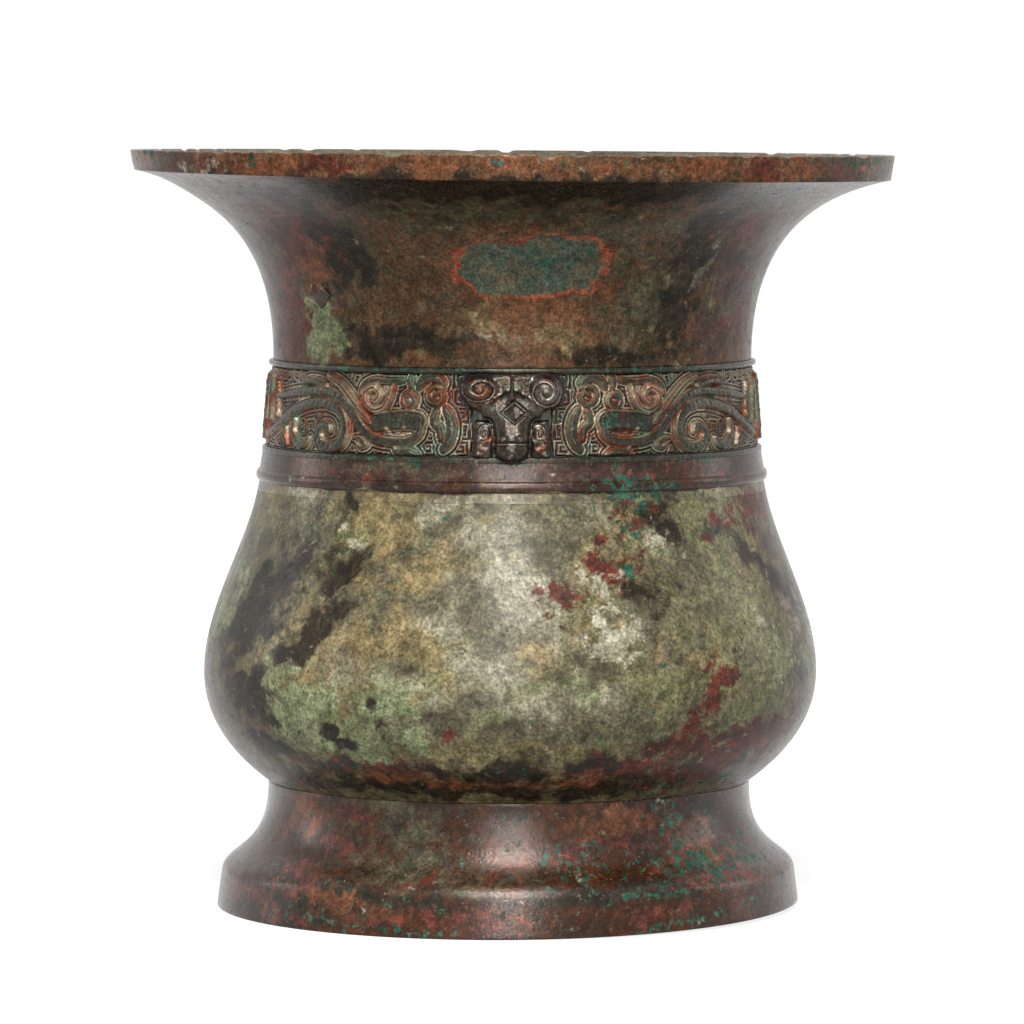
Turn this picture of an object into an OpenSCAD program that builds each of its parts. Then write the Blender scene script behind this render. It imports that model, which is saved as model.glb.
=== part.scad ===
// Bronze zun wine vessel: a splayed foot ring, a pear-shaped belly, a bow-string band, a frieze
// of dragons with an animal mask front and back, and a trumpet neck with a blunt lip.
// Millimetres, +Z up, origin in the middle of the foot's base. The front mask faces -Y.

/* [Foot ring] */
// Height of the foot ring from the base to the belly
foot_h = 34; // [29:0.5:42]
// Outside diameter at the base
foot_d = 157; // [146:1:168]
// Height of the upright band round the base
foot_band_h = 12; // [8:0.5:15]
// How far the upright band leans in from base to top
foot_band_lean = 1; // [0:0.1:2]
// Outside diameter of the foot's waist, under the belly
foot_waist_d = 130; // [122:1:136]
// Wall of the foot ring
foot_wall = 3.6; // [3:0.1:5]

/* [Belly] */
// Height of the belly from the foot to the bow-string band
belly_h = 78; // [68:1:90]
// Greatest outside diameter of the belly
belly_d = 165; // [154:1:178]
// Height of the widest point above the foot
belly_wide_h = 29; // [24:0.5:35]
// Wall of the belly
belly_wall = 3.2; // [2.8:0.1:4.5]
// How far the floor dips in the middle
floor_dip = 6; // [3:0.5:10]
// Thickness of the floor
floor_wall = 3.2; // [2.8:0.1:5]
// Depth of the ring under the floor that the foot fits round
spigot_h = 4; // [2.5:0.1:6]
// Width of that ring
spigot_w = 3.4; // [2.5:0.1:5]

/* [Bow-string band] */
// Height of the plain band under the frieze
band_h = 10.5; // [9:0.1:14]
// How far the plain band widens from its top to the belly
band_spread = 1.3; // [0.6:0.1:4]
// Ledge from the frieze's ground out to the top of the plain band
band_ledge = 0.9; // [0.5:0.1:1.6]
// Wall of the plain band at its top
band_wall = 4.5; // [4:0.1:5.5]
// Height of the bow-string's middle above the bottom of the band
bow_z = 4.2; // [3:0.1:6]
// Width of the bow-string
bow_w = 3; // [2:0.1:4]
// How far the bow-string stands proud
bow_proud = 0.9; // [0.5:0.05:1.5]

/* [Frieze] */
// Height of the frieze with its two fillets
frieze_h = 24.5; // [21:0.5:30]
// How far the frieze's ground widens from its top to its bottom
ground_spread = 1.8; // [0:0.1:2.4]
// Ledge from the neck's waist out to the top of the frieze's ground
ground_ledge = 0.2; // [0:0.1:0.6]
// Height of each fillet
fillet_h = 1.5; // [1:0.1:2.2]
// How far each fillet stands proud of the ground
fillet_proud = 1; // [0.6:0.1:1.5]
// Depth of the seats that the dragon panels lie in
panel_seat = 0.9; // [0.6:0.05:1.2]
// Strip of plain ground between a fillet and a panel
panel_margin = 0.25; // [0.15:0.05:0.5]
// Strip of ground between a mask's ear and a panel
ear_gap = 0.75; // [0.4:0.05:1.5]
// Strip of ground between a mask's horn and a dragon
horn_gap = 1.75; // [1:0.05:3]
// Strip of ground between two panels at the vessel's sides
seam_gap = 2.4; // [1.2:0.1:6]
// Height of the dragons over the ground
dragon_proud = 1.3; // [0.8:0.1:1.8]
// Half the width of a dragon's body
dragon_half_w = 1.35; // [1:0.05:1.5]

/* [Masks] */
// Width of an animal mask across its horns
mask_w = 27; // [24:0.5:28.5]
// How far the muzzle stands out of the ground
mask_proud = 8; // [6:0.5:11]
// Width of the tenon behind a mask
tenon_w = 8; // [6:0.5:12]
// Height of the tenon
tenon_h = 10; // [7:0.5:13]
// Depth of the tenon in the wall
tenon_depth = 1.8; // [1.2:0.1:2.2]

/* [Trumpet neck] */
// Height of the neck from the frieze to the rim
neck_h = 56; // [48:1:68]
// Outside diameter of the neck's waist
neck_waist_d = 128.4; // [118:0.4:138]
// Mouth diameter at the top of the lip
mouth_d = 205; // [190:1:222]
// Height of the upright edge of the lip
lip_h = 7; // [5:0.5:9]
// How far the lip leans out from bottom to top
lip_lean = 1.1; // [0:0.1:2]
// Wall of the neck at its waist
neck_wall = 3.2; // [2.8:0.1:4]
// Width of the worn top edge of the lip
lip_edge = 0.8; // [0.3:0.1:1.5]

/* [Joints] */
// Height of the tongue that one section of the wall sets into the next
lap_h = 2; // [1.5:0.1:2.5]
// Radial clearance between a tongue and the skirt round it
lap_gap = 0.1; // [0.05:0.01:0.2]
// Clearance round the panels, the masks' backs and their tenons
seat_gap = 0.06; // [0.05:0.01:0.15]

/* [Spacers] */
// Length of a casting spacer
spacer_l = 6; // [4:0.5:8]
// Width of a casting spacer
spacer_w = 4; // [3:0.5:5]
// Place of the neck spacer round the vessel, from the front towards its right
neck_spacer_turn = -49; // [-80:1:80]
// Turn of the neck spacer in the wall
neck_spacer_tilt = 42; // [0:1:90]
// Number of spacers in the floor
floor_spacer_count = 4; // [3:1:6]
// Radius of the circle that the floor spacers lie on
floor_spacer_r = 38; // [24:1:46]

/* [Hidden] */
$fn = 144;

bronze = [0.36, 0.25, 0.19];
green_bronze = [0.46, 0.46, 0.36];
red_bronze = [0.42, 0.25, 0.19];
dark_bronze = [0.24, 0.22, 0.19];
spacer_bronze = [0.30, 0.20, 0.16];

// Steps along each curve of the wall
curve_steps = 16;
// Share of the wall that a tongue takes
tongue_share = 0.4;
// A cutter reaches this far past what it cuts
past = 1;

// Heights of the joints between the sections
belly_z = foot_h;
band_z = belly_z + belly_h;
frieze_z = band_z + band_h;
neck_z = frieze_z + frieze_h;
rim_z = neck_z + neck_h;

// Outside diameters from the neck's waist down to the belly
ground_high_d = neck_waist_d + 2 * ground_ledge;
ground_low_d = ground_high_d + 2 * ground_spread;
band_top_d = ground_low_d + 2 * band_ledge;
belly_top_d = band_top_d + 2 * band_spread;

// Inside radius of the wall at each joint
band_top_in_r = band_top_d / 2 - band_wall;
waist_in_r = neck_waist_d / 2 - neck_wall;

// The frieze's ground between its fillets
ground_h = frieze_h - 2 * fillet_h;
ground_mid_r = (ground_low_d + ground_high_d) / 4;

// An ear of a mask: its place across half the mask and its radius, in hundredths of the mask
ear_place = 52;
ear_r = 9;
ear_reach = (ear_place / 2 + ear_r) / 100 * mask_w;

// Angles from the middle of a mask to where a panel and its dragon start, and to their end
panel_from = asin((ear_reach + ear_gap) / ground_mid_r);
dragon_from = asin((mask_w / 2 + horn_gap) / ground_mid_r);
panel_to = 90 - asin(seam_gap / 2 / ground_mid_r);
dragon_arc = panel_to - dragon_from;

// Cubic curves, walls and smooth lines

function bezier(c, t) =
    pow(1 - t, 3) * c[0] + 3 * t * pow(1 - t, 2) * c[1]
    + 3 * t * t * (1 - t) * c[2] + pow(t, 3) * c[3];

function bezier_way(c, t) =
    let (d = pow(1 - t, 2) * (c[1] - c[0]) + 2 * t * (1 - t) * (c[2] - c[1])
            + t * t * (c[3] - c[2]))
    d / norm(d);

function left_of(way) = [-way[1], way[0]];

function curve(c) = [for (i = [0:curve_steps]) bezier(c, i / curve_steps)];

// The curve moved to its left by a wall that thickens from w0 to w1
function inner_curve(c, w0, w1) =
    [for (i = [0:curve_steps])
        let (t = i / curve_steps)
        bezier(c, t) + mix(w0, w1, pow(t, 4)) * left_of(bezier_way(c, t))];

function backwards(list) = [for (i = [len(list) - 1:-1:0]) list[i]];

function last(list) = list[len(list) - 1];

function mix(a, b, share) = a + (b - a) * share;

// A smooth line through points, with more steps where it turns sharply
turn_per_step = 34;
function at(points, i) = points[max(0, min(len(points) - 1, i))];
function turn_at(points, i) =
    i <= 0 || i >= len(points) - 1 ? 0 :
    let (a = points[i] - points[i - 1], b = points[i + 1] - points[i])
    acos(max(-1, min(1, a * b / (norm(a) * norm(b)))));
function steps_at(points, i) =
    max(1, ceil(max(turn_at(points, i), turn_at(points, i + 1)) / turn_per_step));
function spline(a, b, c, d, t) =
    0.5 * (2 * b + (c - a) * t + (2 * a - 5 * b + 4 * c - d) * t * t
        + (3 * b - a - 3 * c + d) * t * t * t);
function smooth_line(points) =
    [for (i = [0:len(points) - 2])
        let (steps = steps_at(points, i))
        each [for (k = [0:steps - 1])
            spline(at(points, i - 1), points[i], points[i + 1], at(points, i + 2), k / steps)],
     last(points)];

// A closed tube whose rings are lists of points, with as many points in each
function ring_faces(rings, sides) =
    [for (i = [0:rings - 2], k = [0:sides - 1])
        let (a = i * sides + k, b = i * sides + (k + 1) % sides)
        each [[a, b, b + sides], [a, b + sides, a + sides]]];
function cap_faces(first, sides, turned) =
    [for (k = [1:sides - 2])
        turned ? [first, first + k + 1, first + k] : [first, first + k, first + k + 1]];
module tube(rings) {
    sides = len(rings[0]);
    polyhedron(
        points = [for (r = rings) each r],
        faces = concat(
            ring_faces(len(rings), sides),
            cap_faces(0, sides, true),
            cap_faces((len(rings) - 1) * sides, sides, false)));
}

// Foot ring

foot_shoulder = [foot_d / 2 - foot_band_lean, foot_band_h];
foot_waist = [foot_waist_d / 2, foot_h];
foot_curve = [
    foot_shoulder,
    [mix(foot_shoulder[0], foot_waist[0], 0.55), mix(foot_band_h, foot_h, 0.15)],
    [foot_waist[0], mix(foot_band_h, foot_h, 0.32)],
    foot_waist,
];

module foot_ring() {
    outside = concat([[foot_d / 2, 0]], curve(foot_curve));
    hollow = backwards(inner_curve(foot_curve, foot_wall, foot_wall));
    foot_in_r = foot_waist[0] - foot_wall;
    color(red_bronze)
    rotate_extrude()
    polygon(concat(
        outside,
        [[foot_in_r, foot_h]],
        [for (p = hollow) if (p[1] < foot_h && p[0] > foot_in_r) p],
        [[foot_d / 2 - foot_wall, 0]]));
}

// Belly with its floor

belly_low_curve = [
    foot_waist,
    [mix(foot_waist[0], belly_d / 2, 0.45), foot_h + 0.2 * belly_wide_h],
    [belly_d / 2, foot_h + 0.52 * belly_wide_h],
    [belly_d / 2, foot_h + belly_wide_h],
];
belly_rise = belly_h - belly_wide_h;
belly_high_curve = [
    last(belly_low_curve),
    [belly_d / 2, last(belly_low_curve)[1] + 0.35 * belly_rise],
    [mix(belly_top_d, belly_d, 0.21) / 2, band_z - 0.31 * belly_rise],
    [belly_top_d / 2, band_z],
];
belly_inside = concat(
    inner_curve(belly_low_curve, belly_wall, belly_wall),
    inner_curve(belly_high_curve, belly_wall, belly_wall));
belly_top_in_r = last(belly_inside)[0];
floor_edge = belly_inside[0];
floor_z = floor_edge[1] - floor_dip;
floor_curve = [
    [0, floor_z],
    [0.62 * floor_edge[0], floor_z],
    [0.88 * floor_edge[0], floor_z + 0.35 * floor_dip],
    floor_edge,
];
spigot_r = foot_waist[0] - foot_wall - lap_gap;

module belly_wall_profile() {
    under = [for (p = curve(floor_curve)) if (p[0] < spigot_r - spigot_w) p - [0, floor_wall]];
    tongue_r = mix(belly_top_in_r, belly_top_d / 2, tongue_share);
    polygon(concat(
        curve(belly_low_curve),
        curve(belly_high_curve),
        [[tongue_r, band_z], [tongue_r, band_z + lap_h], [belly_top_in_r, band_z + lap_h]],
        backwards(belly_inside),
        backwards(curve(floor_curve)),
        under,
        [[spigot_r - spigot_w, last(under)[1]],
         [spigot_r - spigot_w, foot_h - spigot_h],
         [spigot_r, foot_h - spigot_h],
         [spigot_r, foot_h]]));
}

module floor_windows() {
    for (i = [0:floor_spacer_count - 1])
        rotate((i + 0.5) * 360 / floor_spacer_count)
        translate([floor_spacer_r, 0, floor_z])
        cube([spacer_w, spacer_l, 4 * (floor_wall + floor_dip)], center = true);
}

module belly() {
    color(green_bronze)
    difference() {
        rotate_extrude() belly_wall_profile();
        floor_windows();
    }
}

module floor_spacers() {
    color(spacer_bronze)
    intersection() {
        rotate_extrude() belly_wall_profile();
        floor_windows();
    }
}

// Bow-string band

module bow_string_band() {
    skirt_r = mix(belly_top_in_r, belly_top_d / 2, tongue_share) + lap_gap;
    tongue_r = mix(band_top_in_r, band_top_d / 2, tongue_share);
    bow_share = bow_z / band_h;
    bow_r = mix(belly_top_d, band_top_d, bow_share) / 2;
    bow = [for (a = [-90:15:90]) [bow_r + bow_proud * cos(a), band_z + bow_z + bow_w / 2 * sin(a)]];
    color(red_bronze)
    rotate_extrude()
    polygon(concat(
        [[belly_top_d / 2, band_z]],
        bow,
        [[band_top_d / 2, frieze_z],
         [tongue_r, frieze_z],
         [tongue_r, frieze_z + lap_h],
         [band_top_in_r, frieze_z + lap_h],
         [belly_top_in_r, band_z + lap_h],
         [skirt_r, band_z + lap_h],
         [skirt_r, band_z]]));
}

// Frieze band, with seats for the panels and sockets for the masks

function ground_r(v) = mix(ground_low_d, ground_high_d, (v - fillet_h) / ground_h) / 2;

// The frieze's outside from bottom to top, moved out by a gap
function frieze_outside(gap) = [
    [ground_low_d / 2 + fillet_proud + gap, frieze_z],
    [ground_low_d / 2 + fillet_proud + gap, frieze_z + fillet_h + gap],
    [ground_low_d / 2 + gap, frieze_z + fillet_h + gap],
    [ground_high_d / 2 + gap, neck_z - fillet_h - gap],
    [ground_high_d / 2 + fillet_proud + gap, neck_z - fillet_h - gap],
    [ground_high_d / 2 + fillet_proud + gap, neck_z],
];

// A stretch of the ground, from one depth under it to another, for the seats and the panels
module ground_slab(from, to, deep, high, gap) {
    low_v = fillet_h + panel_margin + gap;
    high_v = frieze_h - low_v;
    rotate(from - 90)
    rotate_extrude(angle = to - from)
    polygon([
        [ground_r(low_v) - deep, frieze_z + low_v],
        [ground_r(low_v) + high, frieze_z + low_v],
        [ground_r(high_v) + high, frieze_z + high_v],
        [ground_r(high_v) - deep, frieze_z + high_v],
    ]);
}

// The four quarters that hold a panel: each is the front right one, mirrored or turned
module front_right() children();
module front_left() mirror([1, 0, 0]) children();
module back_left() rotate(180) children();
module back_right() mirror([0, 1, 0]) children();

module socket(gap) {
    translate([0, -ground_mid_r, frieze_z + frieze_h / 2])
    cube([tenon_w + 2 * gap, 2 * (tenon_depth + gap), tenon_h + 2 * gap], center = true);
}

module panel_recess() ground_slab(panel_from, panel_to, panel_seat, past, 0);

module frieze_band() {
    skirt_r = mix(band_top_in_r, band_top_d / 2, tongue_share) + lap_gap;
    tongue_r = mix(waist_in_r, neck_waist_d / 2, tongue_share);
    color(dark_bronze)
    difference() {
        rotate_extrude()
        polygon(concat(
            frieze_outside(0),
            [[tongue_r, neck_z],
             [tongue_r, neck_z + lap_h],
             [waist_in_r, neck_z + lap_h],
             [band_top_in_r, frieze_z + lap_h],
             [skirt_r, frieze_z + lap_h],
             [skirt_r, frieze_z]]));
        front_right() panel_recess();
        front_left() panel_recess();
        back_left() panel_recess();
        back_right() panel_recess();
        socket(seat_gap);
        rotate(180) socket(seat_gap);
    }
}

// Dragon panels. A dragon is drawn in hundredths of its length, from the mask outwards, and
// hundredths of the ground's height.

trunk = [
    [14, 86], [9, 93], [5, 86], [4, 66], [4, 42], [5, 20], [8, 8], [11, 16], [10, 30], [7, 28],
];
crest = [
    [22, 90], [23, 70], [27, 56], [32, 62], [33, 78], [30, 86], [27, 80], [28, 70],
];
jaw = [[19, 40], [22, 30], [17, 16], [13, 22], [12, 38], [15, 50]];
back = [[20, 22], [26, 24], [32, 34], [37, 56], [41, 76], [47, 89], [56, 92], [66, 92], [80, 91]];
flank = [[80, 69], [66, 73], [54, 73], [47, 62], [43, 40], [39, 18], [34, 8]];
tail = [
    [81, 47], [71, 50], [60, 57], [52, 52], [49, 32], [51, 13], [56, 13], [57, 30], [54, 36],
];
tail_curl = [[62, 44], [61, 20], [65, 8], [70, 18], [69, 36], [66, 30]];
claw = [[29, 16], [25, 6], [15, 5]];
hook = [[89, 36], [87, 58], [89, 82], [94, 82], [96, 58], [94, 34], [89, 16], [79, 24], [76, 33]];
// Each rib with its width, as a share of the body's
dragon_ribs = [
    [trunk, 0.85], [crest, 1], [jaw, 1.1], [back, 1], [flank, 0.8],
    [tail, 0.9], [tail_curl, 0.75], [claw, 0.8], [hook, 0.85],
];
dragon_eye = [16, 65];
dragon_snout_coil = [8, 70];
// Small squared bosses of the thunder pattern: beside the mask's ear, over the back and at the end
boss_places = [
    [-2.6, 16], [-2.6, 42], [51, 82], [58, 82], [65, 82], [72, 82],
    [37, 88], [84, 8], [98, 8], [98, 90],
];

dragon_l = ground_mid_r * dragon_arc * PI / 180;

// A point of a panel, at a height over the ground
function on_panel(p, high) =
    let (v = fillet_h + p[1] / 100 * ground_h,
         r = ground_r(v) + high,
         a = dragon_from + p[0] / 100 * dragon_arc)
    [r * sin(a), -r * cos(a), frieze_z + v];

// Millimetres along and up a dragon as hundredths, and back
function in_hundredths(step) = [100 * step[0] / dragon_l, 100 * step[1] / ground_h];
function in_mm(p) = [p[0] * dragon_l / 100, p[1] * ground_h / 100];

// Facets round a boss, and of a whole turn of the panels' ground
boss_sides = 13;
ground_facets = 100;

// One rib of a dragon: a flat-topped ridge along a line, thinner at its ends
module rib(points, half_w, high, root) {
    line = smooth_line([for (p = points) in_mm(p)]);
    count = len(line);
    rings = [for (i = [0:count - 1])
        let (d = at(line, i + 1) - at(line, i - 1),
             side = left_of(d / norm(d)),
             fullness = 0.55 + 0.45 * sin(180 * i / (count - 1)),
             foot = half_w * fullness,
             top = 0.6 * foot)
        [for (s = [[-foot, -root], [-top, high], [top, high], [foot, -root]])
            on_panel(in_hundredths(line[i] + s[0] * side), s[1])]];
    tube(rings);
}

// A round boss on the ground, tapering to a flat top
module boss(place, foot_r, top_r, high, root) {
    a = dragon_from + place[0] / 100 * dragon_arc;
    v = fillet_h + place[1] / 100 * ground_h;
    rotate(a)
    translate([0, -ground_r(v), frieze_z + v])
    rotate([90, 0, 0])
    hull() {
        translate([0, 0, -root]) cylinder(r = foot_r, h = root, $fn = boss_sides);
        cylinder(r = top_r, h = high, $fn = boss_sides);
    }
}

module squared_boss(place, w, h, high, root) {
    a = dragon_from + place[0] / 100 * dragon_arc;
    v = fillet_h + place[1] / 100 * ground_h;
    rotate(a)
    translate([0, -ground_r(v), frieze_z + v])
    rotate([90, 0, 0])
    hull() {
        translate([0, 0, -root / 2]) cube([w, h, root], center = true);
        translate([0, 0, high / 2]) cube([0.6 * w, 0.6 * h, high], center = true);
    }
}

module dragon_panel() {
    root = panel_seat / 2;
    edge = seat_gap / ground_mid_r * 180 / PI;
    color(dark_bronze)
    union() {
        ground_slab(panel_from + edge, panel_to - edge, panel_seat - seat_gap, 0, seat_gap,
            $fn = ground_facets);
        for (r = dragon_ribs) rib(r[0], r[1] * dragon_half_w, dragon_proud, root);
        boss(dragon_eye, 1.8 * dragon_half_w, 1.5 * dragon_half_w, dragon_proud, root);
        boss(dragon_eye, dragon_half_w, 0.7 * dragon_half_w, 1.4 * dragon_proud, root);
        boss(dragon_snout_coil, 1.5 * dragon_half_w, 1.1 * dragon_half_w, dragon_proud, root);
        for (p = boss_places)
            squared_boss(p, 0.05 * dragon_l, 0.13 * ground_h, dragon_proud / 2, root);
    }
}

// Animal masks. Places are in hundredths: across half the width, out of the ground, and up.

// How far the tenon runs out into the mask
mask_root = 2.5;
// Facets round a bead
bead_sides = 12;
function on_mask(p) = [
    p[0] / 100 * mask_w / 2,
    -ground_mid_r - p[1] / 100 * mask_proud,
    frieze_z + p[2] / 100 * frieze_h,
];

module bead(p, r) translate(on_mask(p)) sphere(r = r / 100 * mask_w, $fn = bead_sides);

module both_sides() {
    children();
    mirror([1, 0, 0]) children();
}

// A ram's horn coiled on the brow, rising to its middle
horn_turns = 1.7;
horn_rings = 23;
horn_sides = 5;
module horn() {
    eye = on_mask([65, 12, 77]);
    rings = [for (i = [0:horn_rings - 1])
        let (share = i / (horn_rings - 1),
             a = 215 + 360 * horn_turns * share,
             coil_r = mask_w * mix(0.142, 0.02, share),
             thick = mask_w * mix(0.046, 0.036, share),
             rise = mask_proud * mix(0.1, 0.4, share),
             out = [cos(a), 0, sin(a)])
        [for (k = [0:horn_sides - 1])
            let (b = 360 / horn_sides * k)
            eye + [0, -rise, 0] + (coil_r + thick * cos(b)) * out + [0, -thick * sin(b), 0]]];
    tube(rings);
}

module mask_face() {
    // Brow, from horn to horn
    hull() {
        bead([-40, 0, 74], 13);
        bead([40, 0, 74], 13);
        bead([0, 12, 60], 13);
    }
    // Ridge down the forehead
    hull() {
        bead([0, 32, 90], 4);
        bead([0, 44, 64], 5);
    }
    // Bridge of the nose, widening down to the muzzle
    hull() {
        bead([-12, 6, 60], 13);
        bead([12, 6, 60], 13);
        bead([0, 30, 32], 14);
    }
    // Upper lip with the nostrils
    hull() {
        bead([-17, 52, 27], 9);
        bead([17, 52, 27], 9);
        bead([0, 32, 34], 13);
    }
    // Muzzle and chin
    hull() {
        bead([-13, 54, 12], 11);
        bead([13, 54, 12], 11);
        bead([0, 20, 14], 14);
    }
    // Lozenge on the brow
    hull() {
        for (p = [[-22, 54, 48], [22, 54, 48], [0, 54, 60], [0, 58, 36]]) bead(p, 0.6);
        bead([0, 80, 48], 0.6);
    }
    both_sides() {
        // Bed of the horn, sloping back at its outer side
        hull() {
            bead([66, 0, 77], 17);
            bead([48, 0, 62], 12);
        }
        // Cheek, from the horn to the corner of the mouth
        hull() {
            bead([52, 8, 60], 9);
            bead([28, 34, 34], 8);
        }
        // Ear, hanging beside the muzzle
        hull() {
            bead([ear_place, 12, 44], 7);
            bead([ear_place - 2, 12, 12], ear_r);
        }
        horn();
    }
}

module mask() {
    color(dark_bronze)
    union() {
        difference() {
            mask_face();
            rotate_extrude() polygon(concat([[0, frieze_z - past]], [
                [frieze_outside(seat_gap)[0][0], frieze_z - past]],
                frieze_outside(seat_gap), [[0, neck_z]]));
        }
        intersection() {
            socket(0);
            translate([0, -ground_mid_r - mask_root, frieze_z + frieze_h / 2])
            cube([tenon_w, 2 * (mask_root + tenon_depth), tenon_h], center = true);
        }
    }
}

// Trumpet neck

lip_low = [mouth_d / 2 - lip_lean, rim_z - lip_h];
neck_curve = [
    [neck_waist_d / 2, neck_z],
    [neck_waist_d / 2, mix(neck_z, lip_low[1], 0.47)],
    [mix(neck_waist_d / 2, lip_low[0], 0.21), mix(neck_z, lip_low[1], 0.88)],
    lip_low,
];
neck_inside = inner_curve(neck_curve, neck_wall, 0.9 * lip_h);

// Place of the spacer up the neck's curve
neck_spacer_t = 0.27;

module neck_profile() {
    skirt_r = mix(waist_in_r, neck_waist_d / 2, tongue_share) + lap_gap;
    inside = [for (p = backwards(neck_inside))
        if (p[1] < rim_z && p[1] > neck_z + lap_h && p[0] < mouth_d / 2 - lip_edge) p];
    polygon(concat(
        curve(neck_curve),
        [[mouth_d / 2, rim_z], [mouth_d / 2 - lip_edge, rim_z]],
        inside,
        [[waist_in_r, neck_z + lap_h],
         [skirt_r, neck_z + lap_h],
         [skirt_r, neck_z]]));
}

module neck_window() {
    place = bezier(neck_curve, neck_spacer_t);
    way = bezier_way(neck_curve, neck_spacer_t);
    lean = atan2(way[0], way[1]);
    rotate(neck_spacer_turn - 90)
    translate([place[0], 0, place[1]])
    rotate([0, lean, 0])
    rotate([neck_spacer_tilt, 0, 0])
    cube([4 * neck_wall, spacer_l, spacer_w], center = true);
}

module trumpet_neck() {
    color(bronze)
    difference() {
        rotate_extrude() neck_profile();
        neck_window();
    }
}

module neck_spacer() {
    color(spacer_bronze)
    intersection() {
        rotate_extrude() neck_profile();
        neck_window();
    }
}

foot_ring();
belly();
floor_spacers();
bow_string_band();
frieze_band();
front_right() dragon_panel();  // dragon_panel_front_right
front_left() dragon_panel();  // dragon_panel_front_left
back_left() dragon_panel();  // dragon_panel_back_left
back_right() dragon_panel();  // dragon_panel_back_right
mask();  // mask_front
rotate(180) mask();  // mask_back
trumpet_neck();
neck_spacer();
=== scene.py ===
"""Looks of a bronze zun wine vessel.

Each CAD section of the wall is replaced by a finer mesh of the same form, with the slight warp of
an old casting, the relief of the frieze and the masks, and a patina that lies in patches, into
which some shade, reflection and highlight are painted.
Shapes are worked out in millimetres and go to Blender in metres. Azimuth runs from the front (-Y)
towards the vessel's right (+X).
"""
import math

import bpy
import numpy as np
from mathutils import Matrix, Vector


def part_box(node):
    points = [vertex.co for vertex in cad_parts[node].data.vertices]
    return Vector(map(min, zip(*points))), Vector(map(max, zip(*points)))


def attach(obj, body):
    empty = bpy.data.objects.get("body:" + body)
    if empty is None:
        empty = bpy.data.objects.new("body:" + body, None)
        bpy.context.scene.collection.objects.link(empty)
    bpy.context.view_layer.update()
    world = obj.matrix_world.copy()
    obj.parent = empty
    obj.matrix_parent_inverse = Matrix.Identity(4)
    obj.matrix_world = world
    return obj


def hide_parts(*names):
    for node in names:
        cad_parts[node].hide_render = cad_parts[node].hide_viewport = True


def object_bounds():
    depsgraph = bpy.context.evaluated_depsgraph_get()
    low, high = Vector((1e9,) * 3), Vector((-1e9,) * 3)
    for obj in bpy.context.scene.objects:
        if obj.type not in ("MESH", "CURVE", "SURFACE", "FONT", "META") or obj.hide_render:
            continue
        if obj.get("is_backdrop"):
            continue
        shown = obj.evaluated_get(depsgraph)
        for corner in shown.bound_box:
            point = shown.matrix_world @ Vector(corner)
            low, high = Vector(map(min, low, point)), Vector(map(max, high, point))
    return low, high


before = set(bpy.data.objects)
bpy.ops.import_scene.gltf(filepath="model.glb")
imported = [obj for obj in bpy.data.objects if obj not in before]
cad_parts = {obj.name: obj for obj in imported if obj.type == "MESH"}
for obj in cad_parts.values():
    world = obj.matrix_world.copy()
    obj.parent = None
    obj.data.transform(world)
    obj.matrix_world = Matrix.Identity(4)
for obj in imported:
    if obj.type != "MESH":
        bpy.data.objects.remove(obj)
CAD_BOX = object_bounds()
MM = 0.001


# Sizes, in millimetres

def reach(node):
    """Lowest and highest corner of a CAD node."""
    low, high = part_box(node)
    return np.array(low) / MM, np.array(high) / MM


FOOT_R = reach("foot_ring")[1][0]
FOOT_H = reach("foot_ring")[1][2]
BELLY_R = reach("belly")[1][0]
BAND_Z = reach("bow_string_band")[0][2]
FRIEZE_Z = reach("frieze_band")[0][2]
NECK_Z = reach("trumpet_neck")[0][2]
RIM_Z = reach("trumpet_neck")[1][2]
MOUTH_R = reach("trumpet_neck")[1][0]

FOOT_BAND_H = 9.4
FOOT_BAND_LEAN = 1.2
FOOT_WAIST_R = 65
FOOT_WALL = 3.6
FOOT_INSIDE_END = 0.5
BELLY_WIDE_Z = FOOT_H + 29
BELLY_TOP_R = 68.4
BELLY_WALL = 3.2
FLOOR_DIP = 6
FLOOR_WALL = 3.2
SPIGOT_H = 4
SPIGOT_W = 3.4
BAND_TOP_R = 67.1
BAND_WALL = 4.5
BOW_Z = 4.2
BOW_W = 3
BOW_PROUD = 0.9
GROUND_LOW_R = 66.2
GROUND_HIGH_R = 64.4
FILLET_H = 1.5
FILLET_PROUD = 1
PANEL_SEAT = 0.9
PANEL_MARGIN = 0.25
EAR_GAP = 0.75
HORN_GAP = 1.75
SEAM_GAP = 2.4
MASK_W = 27
EAR_REACH = 0.35 * MASK_W
NECK_R = 64.2
NECK_WALL = 3.2
LIP_H = 7
LIP_LEAN = 1.1
LIP_EDGE = 0.8
LIP_WALL = 0.9 * LIP_H
LIP_CLEAR_R = 0.3
LIP_CLEAR_Z = 0.2
LAP_GAP = 0.1

FRIEZE_H = NECK_Z - FRIEZE_Z
GROUND_H = FRIEZE_H - 2 * FILLET_H
GROUND_MID_R = (GROUND_LOW_R + GROUND_HIGH_R) / 2
WAIST_IN_R = NECK_R - NECK_WALL

# Angles from the middle of a mask to where a panel and its dragon start, and to their end
PANEL_FROM = math.asin((EAR_REACH + EAR_GAP) / GROUND_MID_R)
DRAGON_FROM = math.asin((MASK_W / 2 + HORN_GAP) / GROUND_MID_R)
PANEL_TO = math.pi / 2 - math.asin(SEAM_GAP / 2 / GROUND_MID_R)
DRAGON_L = GROUND_MID_R * (PANEL_TO - DRAGON_FROM)
PANEL_START = GROUND_MID_R * (PANEL_FROM - DRAGON_FROM)

# The photograph: scale at the vessel's axis, its axis and horizon, and the camera's place
PHOTO_PX = 1024
PX = 0.2685
AXIS_X = 512.5
HORIZON_Y = 115
CAMERA_D = 1650
CAMERA_Z = 212.2

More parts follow.
